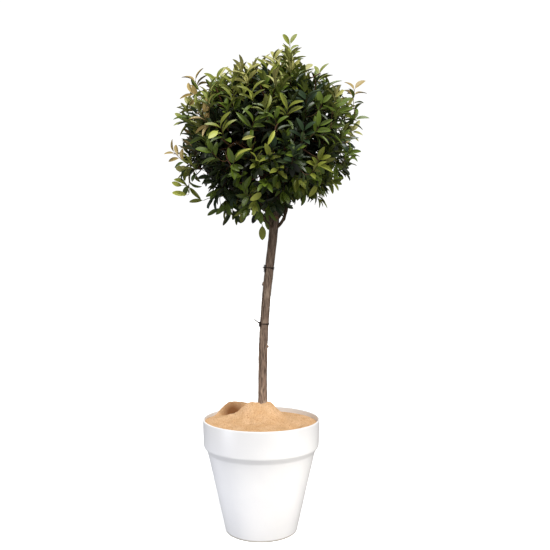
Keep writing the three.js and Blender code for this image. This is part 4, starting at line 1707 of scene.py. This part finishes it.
@dataclass(frozen=True)
class LeafHabit:
    """How leaves stand on a fine twig, from the youngest at its tip to the grown ones.

    Leans are in degrees off the twig. Low is 0 in the upper crown and 1 far down, where leaves
    hang.
    """

    middle: np.ndarray
    tints: TintRule = field(default_factory=TintRule)
    grown_at: float = 6.0
    crowding: float = 1.5
    clothed_share: float = 0.92
    pair_step: float = 5.0
    tip_lean: float = 11.0
    pair_lean: float = 27.0
    grown_lean: float = 58.0
    lean_varies: tuple[float, float] = (0.8, 1.2)
    turn_varies: float = 0.5
    pair_forward: tuple[float, float] = (-0.4, 0.5)
    pair_facing: tuple[float, float] = (0.3, 1.0)
    size_varies: tuple[float, float] = (0.84, 1.12)
    tip_size: float = 0.88
    grown_size: float = 0.93
    roll: float = 0.8
    ranked_roll: float = 0.4
    outward_turn: float = 0.16
    lift: float = 0.06
    hang: float = -0.4
    low_side: tuple[float, float] = (-0.35, 0.6)
    always_paired: int = 4
    long_stretch: float = 80.0
    near_front: float = -120.0
    slender_leaves: int = 5
    lowest: float = 0.8
    broad_chance: tuple[float, float] = (0.2, 0.6)

    def clothe(self, curve: Bezier, spray: Spray, tint: Tint, random: RandomStream) -> list[Leaf]:
        """Set leaves round the end of a fine twig.

        Args:
            curve: The twig.
            spray: How its end is clothed.
            tint: The tint of the youngest leaves.
            random: The numbers for its leaves.

        Returns:
            The leaves, from the tip back.
        """
        tip = curve.point(1.0)
        outward = unit(tip - self.middle)
        low = float(smoothstep(-outward[2], *self.low_side))
        start = random() * 2 * math.pi
        room = min(spray.clothed, curve.length * self.clothed_share)
        leaves = []
        for number in range(spray.leaves):
            paired = spray.ranked and (number < self.always_paired or spray.clothed > self.long_stretch)
            back = self.place_back(spray, number, paired)
            if back > room:
                break
            age = min(number / self.grown_at, 1.0)
            share = 1 - back / curve.length
            axis = curve.tangent_at(share)
            lean = lerp(self.pair_lean if paired else self.tip_lean, self.grown_lean, age)
            lean = math.radians(lean * random.between(*self.lean_varies))
            turn = start + number * GOLDEN_ANGLE + random() * self.turn_varies
            heading = leaning(axis, lean, turn)
            facing = axis * 0.6 + UP * 0.5 + outward * lerp(0.0, 0.6, age)
            if paired:
                forward = random.between(*self.pair_forward)
                aside = unit(np.cross(axis, FRONT)) * (-1) ** number + FRONT * forward
                heading = axis * math.cos(lean) + unit(aside) * math.sin(lean)
                facing = axis * 0.6 + UP * 0.3 + FRONT * random.between(*self.pair_facing)
            rise = UP * lerp(self.lift, self.hang, low * age)
            roll = random() * (self.ranked_roll if spray.ranked else self.roll)
            size = 1.0 if spray.ranked else lerp(self.tip_size, self.grown_size, age)
            grown = number + self.slender_leaves * int(paired and tip[1] > self.near_front)
            leaves.append(Leaf(
                foot=curve.point_at(share),
                heading=unit(heading + outward * self.outward_turn * age + rise),
                facing=leaning(unit(facing), roll, random() * 2 * math.pi),
                size=size * random.between(*self.size_varies),
                shape=self.shape_of(grown, tint, low, random),
                tint=self.tints.aged(tint, number, tip),
            ))
        return leaves

    def place_back(self, spray: Spray, number: int, paired: bool) -> float:
        """Return how far back from the tip a leaf stands."""
        if paired:
            return 1.0 + self.pair_step * (number % 2) + INTERNODE * (number // 2)
        return 1.0 + (spray.clothed - 1.0) * (number / max(spray.leaves - 1, 1)) ** self.crowding

    def shape_of(self, number: int, tint: Tint, low: float, random: RandomStream) -> int:
        """Return a leaf's shape: slender at a young tip, broad on old and low twigs."""
        slender = len(YOUNG_LEAVES)
        grown = len(GROWN_LEAVES)
        sort = random()
        light = tint in (Tint.YOUNG, Tint.OLIVE, Tint.BRONZE)
        if number < self.slender_leaves and light and low < self.lowest:
            return int(sort * slender)
        least, more = self.broad_chance
        if random() < least + more * low:
            return slender + grown + int(sort * len(BROAD_LEAVES))
        return slender + int(sort * grown)


@dataclass
class Twig:
    """A fine twig and its leaves."""

    curve: Bezier
    radius: float
    leaves: list[Leaf]

    def radius_at(self, share: float) -> float:
        """Return the radius at a share of the length."""
        return self.radius * lerp(1.0, 0.6, share)


@dataclass(frozen=True)
class SourceRule:
    """How the part's source grows the stem and the twigs of a mass.

    The insets are shares of its leaf's length. Places, bend and lift are shares of the stem's or
    of the twig's length, and leans are in degrees.
    """

    seed: int = 3005
    streams_per_mass: int = 100
    twig_count: int = 3
    stem_radius: float = 4.4
    twig_radius: float = 2.3
    tip_radius: float = 1.8
    leaf: float = 102.0
    stem_inset: float = 0.86
    twig_inset: float = 0.62
    stride: float = 6.0
    strides: int = 20
    shortest: float = 22.0
    places: tuple[float, float] = (0.2, 0.75)
    turn_varies: float = 0.6
    leans: tuple[float, float] = (68.0, 44.0)
    lean_varies: float = 12.0
    bend: float = 0.55
    lift: float = 0.16
    side_room: float = 8.0
    bark_room: float = 2.0
    tested: tuple[float, ...] = (0.3, 0.5, 0.7, 0.85, 1.0)


@dataclass
class MassGrowth:
    """The wood and the leaves of one mass, grown on from its bough's tip.

    Stem and twigs follow the part's source, with its values. Finer twigs with leaves of true
    size go on from them to their places in the crown.
    """

    crown: Crown
    index: int
    source: SourceRule = SourceRule()
    bare_bough: float = 0.3
    longest: float = 210.0
    upright: float = 44.0
    upright_share: float = 0.7
    foot_handle: float = 0.4
    tip_handle: float = 0.25
    turn_off: float = 1.6
    straight_on: float = 0.4
    tested: tuple[float, ...] = (0.45, 0.6, 0.75, 0.9, 1.0)
    least_run: float = 0.6
    short_run_cost: float = 200.0
    fine_radius: float = 1.1
    thickening: float = 0.006
    twig_room: float = 2.2
    leaf_room: float = 1.5

    def __post_init__(self) -> None:
        """Look the mass up and grow its wood by the source's rule."""
        self.row = BOUGH_ROWS[self.index]
        self.bough = self.crown.limbs[self.row.name]
        self.habit = LeafHabit(self.crown.middle)
        self.wood: list[Limb] = []
        self.twigs: list[Twig] = []
        self.origins: list[np.ndarray] = []
        self.tangents: list[np.ndarray] = []
        self.offer_origins(self.bough.curve, self.bare_bough, 14)
        stem = self.stem()
        self.add_wood("stem", stem, self.source.stem_radius)
        for number in range(self.source.twig_count):
            twig = self.twig(stem, number)
            if twig is not None:
                self.add_wood("twig", twig, self.source.twig_radius)

    def add_wood(self, name: str, curve: Bezier, radius: float) -> None:
        """Keep a stem or twig, and let finer twigs spring from it."""
        self.wood.append(Limb(name, curve, lambda share: lerp(radius, self.source.tip_radius, share)))
        self.offer_origins(curve, 0.1, 9)

    def offer_origins(self, curve: Curve, first: float, count: int) -> None:
        """Let so many finer twigs spring from a curve, from a share of its length to its end."""
        for share in np.linspace(first, 1.0, count):
            self.origins.append(curve.point_at(share))
            self.tangents.append(curve.tangent_at(share))

    def room_ahead(self, start: np.ndarray, heading: np.ndarray) -> float:
        """Return the length that a twig of the source's rule has room for."""
        rule = self.source
        points = start + heading * (np.arange(1, rule.strides + 1) * rule.stride)[:, None]
        inside = self.crown.beyond(points) < -rule.leaf * rule.twig_inset
        held = self.crown.room_in_space(points, self.index) >= rule.twig_radius + rule.side_room
        stops = np.flatnonzero(~(inside & held))
        return float(stops[0] if len(stops) else len(points)) * rule.stride

    def stem(self) -> Bezier:
        """Return the stem that goes on from the bough's tip."""
        tangent = self.bough.curve.tangent(1.0)
        start = self.bough.curve.point(1.0) + tangent * self.crown.gap
        reach = float(self.crown.reach(self.row.outward[None])[0]) + self.row.proud
        end = self.crown.middle + self.row.outward * (reach - self.source.leaf * self.source.stem_inset)
        span = float(np.linalg.norm(end - start))
        return Bezier(start, start + tangent * span * self.foot_handle, end)

    def twig(self, stem: Bezier, number: int) -> Bezier | None:
        """Return a twig on the stem, or None where it has no room."""
        rule = self.source
        random = RandomStream(rule.seed + self.index * rule.streams_per_mass + number)
        along = lerp(*rule.places, number / (rule.twig_count - 1))
        start = stem.point(along)
        turn = number * GOLDEN_ANGLE + random() * rule.turn_varies
        lean = lerp(*rule.leans, along) + rule.lean_varies * (random() - 0.5)
        heading = leaning(stem.tangent(along), math.radians(lean), turn)
        length = self.room_ahead(start, heading)
        if length < rule.shortest:
            return None
        end = start + heading * length + UP * length * rule.lift
        twig = Bezier(start, start + heading * length * rule.bend, end)
        points = twig.points(np.array(rule.tested))
        fits = self.crown.room_in_space(points, self.index).min() >= rule.twig_radius + self.crown.gap
        clear = self.crown.room_among_limbs(points).min() > rule.twig_radius + rule.bark_room
        return twig if fits and clear else None

    def reach_for(self, spray: Spray, random: RandomStream) -> bool:
        """Grow one fine twig from the nearest wood.

        Args:
            spray: What it becomes.
            random: The numbers for its leaves.

        Returns:
            Whether it found room.
        """
        upright = min(spray.clothed * self.upright_share, self.upright)
        offsets = spray.end - spray.heading * upright - np.array(self.origins)
        spans = np.linalg.norm(offsets, axis=1)
        cost = spans - offsets @ spray.heading * self.straight_on
        if spray.ranked:
            cost = np.where(spans > spray.clothed * self.least_run, cost, cost + self.short_run_cost)
        nearest = int(np.argmin(cost))
        span = float(spans[nearest])
        if span > self.longest:
            return False
        start = self.origins[nearest]
        leave = unit(self.tangents[nearest] + unit(offsets[nearest]) * self.turn_off)
        foot = start + leave * span * self.foot_handle
        bend = spray.end - spray.heading * (upright + span * self.tip_handle)
        curve = Bezier(start, foot, bend, spray.end)
        points = curve.points(np.array(self.tested))
        if self.crown.room_among_limbs(points).min() < self.twig_room:
            return False
        dealt = self.habit.tints.deal(spray.end, self.crown.beyond(spray.end[None])[0], random)
        leaves = self.fitting(self.habit.clothe(curve, spray, spray.tint or dealt, random))
        if not leaves:
            return False
        self.twigs.append(Twig(curve, self.fine_radius + span * self.thickening, leaves))
        self.offer_origins(curve, 0.35, 4)
        return True

    def fitting(self, leaves: list[Leaf]) -> list[Leaf]:
        """Return the leaves that are clear of the limbs."""
        if not leaves:
            return []
        points = np.array([[leaf.reach(0.5), leaf.reach(1.0)] for leaf in leaves]).reshape(-1, 3)
        room = self.crown.room_among_limbs(points).reshape(-1, 2).min(axis=1)
        return [leaf for leaf, free in zip(leaves, room) if free > self.leaf_room]


@dataclass
class Foliage:
    """The whole head of leaves and twigs, made in four storeys.

    Twigs end deeper than their layer in the valleys between masses, along the edge as seen from
    the front, and on top, and less deep underneath. No twig of the outermost layer ends within
    the elbow room of a leading shoot, and no leaf is kept past the back reach.
    """

    crown: Crown
    eye: np.ndarray
    storeys: tuple[str, ...] = ("upper", "middle", "lower", "under")
    seed: int = 7040
    leading_streams: int = 5000
    shell_streams: int = 1000
    spray_middle: float = 0.45
    turn_varies: float = 0.25
    edge: float = 0.3
    edge_room: float = 10.0
    valley: float = 46.0
    valley_angles: tuple[float, float] = (0.12, 0.42)
    low_room: float = -34.0
    high_room: float = 16.0
    room_zone: tuple[float, float] = (-0.6, 0.5)
    elbow_room: float = 40.0
    near_side: float = -60.0
    back_reach: float = 324.0
    drooping: tuple[float, float] = (-0.95, -0.1)
    rising: float = 2.2

    def __post_init__(self) -> None:
        """Model the leaf shapes and mix the finishes."""
        self.claimed: list[np.ndarray] = []
        self.patterns = [shape.model() for shape in LEAF_SHAPES]
        self.tints = list(Tint)
        self.leaf_materials = [
            material for tint in self.tints for material in LEAF_FINISHES[tint].materials(tint)
        ]
        self.twig_material = TWIG_BARK.material()

    def add_leaf(self, store: MeshStore, leaf: Leaf, pattern: Pattern | None = None) -> None:
        """Add one leaf to a store, by the pattern of its shape or by one of its own."""
        corners, faces, under = pattern or self.patterns[leaf.shape]
        placed = (corners * leaf.size) @ leaf.basis() + leaf.foot
        first = self.tints.index(leaf.tint) * 2
        store.add(placed, faces, [first + int(side) for side in under])

    def add_limb(self, store: MeshStore, limb: Limb | Twig, sides: int, steps: int) -> None:
        """Add one twig to a store."""
        shares = np.linspace(0.0, 1.0, steps + 1)
        radii = np.array([limb.radius_at(share) for share in shares])
        store.add(*tube(limb.curve.points(shares), radii, sides))

    def nearest_mass(self, point: np.ndarray) -> int:
        """Return the index of the mass in whose space a point lies."""
        return int(np.argmax(self.crown.outwards @ (point - self.crown.middle)))

    def grow_leading_shoots(self, masses: Sequence[MassGrowth]) -> None:
        """Grow the shoots of the outline and of the near side that the photograph shows."""
        for number, shoot in enumerate(LEADING_SHOOTS + FRONT_SHOOTS):
            spray = shoot.spray(self.eye)
            random = RandomStream(self.seed + self.leading_streams + number)
            if masses[self.nearest_mass(spray.end)].reach_for(spray, random):
                middle = spray.end - spray.heading * spray.clothed * self.spray_middle
                self.claimed += [spray.end, middle]
            else:
                LOG.info("the leading shoot at %s, %s found no room", shoot.x, shoot.z)

    def swell(self, outward: np.ndarray) -> float:
        """Return how far the leaves stand proud of the crown's reach in a direction."""
        angle = math.degrees(math.atan2(outward[2], outward[0]))
        angles, amounts = zip(*SWELL)
        return float(np.interp(angle, angles, amounts, period=360)) * (1 - outward[1] ** 2)

    def grow_shell(self, shell: Shell, masses: Sequence[MassGrowth], order: int) -> None:
        """Grow the twigs that end in one layer of the crown.

        Args:
            shell: The layer.
            masses: All the masses, in the boughs' order.
            order: The layer's number, for its random streams.
        """
        for number in range(shell.count):
            random = RandomStream(self.seed + order * self.shell_streams + number)
            rise = 1 - 2 * (number + 0.5) / shell.count
            flat = math.sqrt(1 - rise * rise)
            turn = shell.turn + number * GOLDEN_ANGLE + (random() - 0.5) * self.turn_varies
            outward = np.array([flat * math.cos(turn), flat * math.sin(turn), rise])
            depth = self.deepened(shell.depth + shell.depth_varies * (random() - 0.5) * 2, outward)
            reach = float(self.crown.reach(outward[None])[0]) - depth
            end = self.crown.middle + outward * reach
            crowded = any(np.linalg.norm(end - other) < self.elbow_room for other in self.claimed)
            if crowded or (order > 0 and self.in_hollow(end)):
                continue
            lift = lerp(0.0, self.rising, float(smoothstep(rise, *self.drooping)))
            spray = Spray(end, unit(outward + UP * lift), shell.clothed, shell.leaves)
            masses[self.nearest_mass(end)].reach_for(spray, random)

    def in_hollow(self, end: np.ndarray) -> bool:
        """Return whether a place on the near side shows inside a dark hollow between shoots."""
        seen = as_seen(end, self.eye)
        return bool(end[1] < self.near_side and any(hollow.covers(seen) for hollow in HOLLOWS))

    def deepened(self, depth: float, outward: np.ndarray) -> float:
        """Return a depth with what the crown's form adds to it in a direction."""
        closeness = float((self.crown.outwards @ outward).max())
        depth += self.valley * float(smoothstep(math.acos(min(closeness, 1.0)), *self.valley_angles))
        if abs(outward[1]) < self.edge:
            depth += self.edge_room
        depth += lerp(self.low_room, self.high_room, float(smoothstep(outward[2], *self.room_zone)))
        return depth - self.swell(outward)

    def build(self) -> None:
        """Grow, model and dress every mass."""
        masses = [MassGrowth(self.crown, index) for index in range(len(BOUGH_ROWS))]
        for order, shell in enumerate(SHELLS[:-1]):
            self.grow_shell(shell, masses, order)
        self.grow_leading_shoots(masses)
        self.grow_shell(SHELLS[-1], masses, len(SHELLS) - 1)
        for storey in self.storeys:
            self.build_storey(storey, [mass for mass in masses if mass.row.storey == storey])

    def build_storey(self, storey: str, masses: Sequence[MassGrowth]) -> None:
        """Model and dress the leaves and the twigs of one storey.

        Args:
            storey: Its name.
            masses: The masses in it.
        """
        leaves = MeshStore()
        twigs = MeshStore()
        for mass in masses:
            for limb in mass.wood:
                self.add_limb(twigs, limb, 7, 6)
            for twig in mass.twigs:
                self.add_limb(twigs, twig, 5, 5)
        kept = self.thinned([leaf for mass in masses for twig in mass.twigs for leaf in twig.leaves])
        for leaf in kept:
            self.add_leaf(leaves, leaf)
        nodes = [f"foliage_{mass.row.name}" for mass in masses]
        dress(leaves.piece(f"leaves_{storey}", self.leaf_materials), LEAF_EDGE, nodes)
        dress(twigs.piece(f"twigs_{storey}", [self.twig_material]), LEAF_EDGE, nodes)
        count = sum(len(mass.twigs) for mass in masses)
        LOG.info("%s storey: %d twigs and %d leaves", storey, count, len(kept))

    def thinned(self, leaves: Sequence[Leaf]) -> list[Leaf]:
        """Return the leaves that leave the sky gaps open and keep within the crown's reach behind."""
        shares = (0.2, 0.4, 0.6, 0.8, 1.0)
        points = np.array([[leaf.reach(share) for share in shares] for leaf in leaves])
        seen = as_seen(points, self.eye)
        crossed = np.any([gap.covers(seen).any(axis=1) for gap in SKY_GAPS], axis=0)
        crossed |= points[..., 1].max(axis=1) > self.back_reach
        return [leaf for leaf, hit in zip(leaves, crossed) if not hit]


@dataclass
class HangingLeaf:
    """The one leaf that hangs on a stalk from the thin bough on the left."""

    crown: Crown
    along: float = 0.3
    stalk: float = 30.0
    stalk_radius: float = 1.1
    stalk_tip_radius: float = 0.8
    tint: Tint = Tint.LIME
    shape: LeafShape = LeafShape(54, 26, BLUNT, fold=0.12, arch=0.06, sway=0.0)

    def build(self, foliage: Foliage) -> bpy.types.Object:
        """Model and dress the leaf."""
        bough = self.crown.limbs["under_left"]
        down = unit(np.array([0.02, -0.1, -1.0]))
        tangent = bough.curve.tangent_at(self.along)
        out = unit(down - tangent * float(down @ tangent))
        start = bough.curve.point_at(self.along) + out * (bough.radius_at(self.along) - 1.0)
        end = start + down * self.stalk
        stalk = Bezier(start, start + out * self.stalk * 0.4, end)
        store = MeshStore()
        under_side = foliage.tints.index(self.tint) * 2 + 1
        radii = np.linspace(self.stalk_radius, self.stalk_tip_radius, 5)
        store.add(*tube(stalk.points(np.linspace(0, 1, 5)), radii, 6), under_side)
        facing = np.array([0.3, -1.0, 0.3])
        leaf = Leaf(end - down * 1.5, down, facing, size=1.0, shape=0, tint=self.tint)
        foliage.add_leaf(store, leaf, self.shape.model())
        piece = store.piece("hanging_leaf", foliage.leaf_materials)
        return dress(piece, LEAF_EDGE, ["foliage_hanging_leaf"])


# The studio


@dataclass
class Studio:
    """A plain pale floor, soft light and the camera at the photograph's place."""

    eye: tuple[float, float, float] = (46.6, -2249.0, 881.0)
    focal_pixels: float = 656.6
    image_side: float = 550.0
    horizon: float = 271.4
    sensor: float = 36.0
    panel_size: float = 0.4
    panel_spread: float = 32.0
    panel_aim: float = 0.12
    surround_light: float = 0.2
    surround_seen: float = 1.05

    def add_camera(self) -> None:
        """Place the camera: level but for the horizon's place in the photograph."""
        data = bpy.data.cameras.new("camera")
        data.sensor_width = self.sensor
        data.lens = self.focal_pixels / self.image_side * self.sensor
        camera = add_object("camera", data)
        camera.location = Vector(self.eye) * MM
        pitch = math.atan((self.image_side / 2 - self.horizon) / self.focal_pixels)
        camera.rotation_euler = (math.pi / 2 - pitch, 0.0, 0.0)
        bpy.context.scene.camera = camera

    def add_floor(self) -> None:
        """Lay the floor."""
        deselect_all()
        bpy.ops.mesh.primitive_plane_add(size=30.0, location=(0.0, 6.0, 0.0))
        floor = settle(bpy.context.object, "floor")
        surface = Surface("studio_floor")
        surface.fill(surface.shader, {
            "Base Color": colour(250, 250, 250),
            "Roughness": 0.9,
            "Specular IOR Level": 0.1,
            "Emission Color": WHITE,
            "Emission Strength": 0.5,
        })
        floor.data.materials.append(surface.material)
        floor.visible_diffuse = False
        floor.visible_glossy = False
        floor.visible_shadow = False

    def add_panel(self, name: str, place: Sequence[float], power: float, tone: Colour) -> None:
        """Add one low panel that fills the pot's shaded side and leaves the crown alone.

        Args:
            name: The light's name.
            place: Where it stands, in metres.
            power: Its power, in watts.
            tone: Its colour.
        """
        data = bpy.data.lights.new(name, "AREA")
        data.color = tone
        data.size = self.panel_size
        data.energy = power
        data.spread = math.radians(self.panel_spread)
        light = add_object(name, data)
        light.location = place
        aim = Vector((0.0, 0.0, self.panel_aim)) - Vector(place)
        light.rotation_euler = aim.to_track_quat("-Z", "Y").to_euler()
        light.visible_camera = False

    def add_sun(
        self, name: str, source: Sequence[float], spread: float, power: float, tone: Colour
    ) -> None:
        """Add one soft light from far off, even all over the floor.

        Args:
            name: The light's name.
            source: The direction it comes from.
            spread: How wide the light looks from the plant, in degrees.
            power: Its strength.
            tone: Its colour.
        """
        data = bpy.data.lights.new(name, "SUN")
        data.energy = power
        data.angle = math.radians(spread)
        data.color = tone
        light = add_object(name, data)
        light.location = source
        light.rotation_euler = Vector(source).to_track_quat("Z", "Y").to_euler()

    def add_world(self) -> None:
        """Make a white surround that lights the plant less brightly than it shows."""
        world = bpy.data.worlds.new("studio")
        world.use_nodes = True
        work = NodeWork(world.node_tree)
        dim = work.tree.nodes["Background"]
        work.fill(dim, {"Color": WHITE, "Strength": self.surround_light})
        bright = work.add("ShaderNodeBackground", {"Color": WHITE, "Strength": self.surround_seen})
        mix = work.add("ShaderNodeMixShader", {
            "Fac": work.add("ShaderNodeLightPath").outputs["Is Camera Ray"],
            1: dim.outputs["Background"],
            2: bright.outputs["Background"],
        })
        work.fill(work.tree.nodes["World Output"], {"Surface": mix.outputs["Shader"]})
        bpy.context.scene.world = world

    def build(self) -> None:
        """Set up the whole studio."""
        self.add_camera()
        self.add_floor()
        self.add_world()
        self.add_sun("key", (0.4, -1.2, 1.7), 40.0, 3.3, (1.0, 0.99, 0.97))
        self.add_sun("top", (-0.5, -0.3, 2.0), 60.0, 0.6, WHITE[:3])
        self.add_sun("back", (-0.4, 1.4, 1.2), 60.0, 0.85, WHITE[:3])
        self.add_sun("bounce", (-0.1, -0.5, -1.0), 90.0, 0.46, WHITE[:3])
        self.add_panel("left_panel", (-1.3, -0.7, 0.2), 0.7, (0.88, 0.91, 1.0))
        self.add_panel("right_panel", (1.1, -1.0, 0.2), 0.74, (1.0, 0.97, 0.94))
        bpy.context.scene.view_settings.view_transform = "Standard"


def main() -> None:
    """Build the plant, its pot and the studio."""
    logging.basicConfig(level=logging.INFO, format="%(message)s")
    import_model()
    studio = Studio()
    studio.build()
    pot = Pot()
    pieces = [pot.build(), SandFill(pot).build()]
    trunk = Trunk()
    wire = DarkWire().material()
    pieces += [trunk.build(), *[tie.build(trunk, wire) for tie in TIES]]
    crown = Crown(trunk)
    pieces.append(Boughs(crown).build())
    foliage = Foliage(crown, np.array(studio.eye))
    foliage.build()
    pieces.append(HangingLeaf(crown).build(foliage))
    LOG.info("built beside the foliage: %s", ", ".join(piece.name for piece in pieces))


if __name__ == "__main__":
    main()
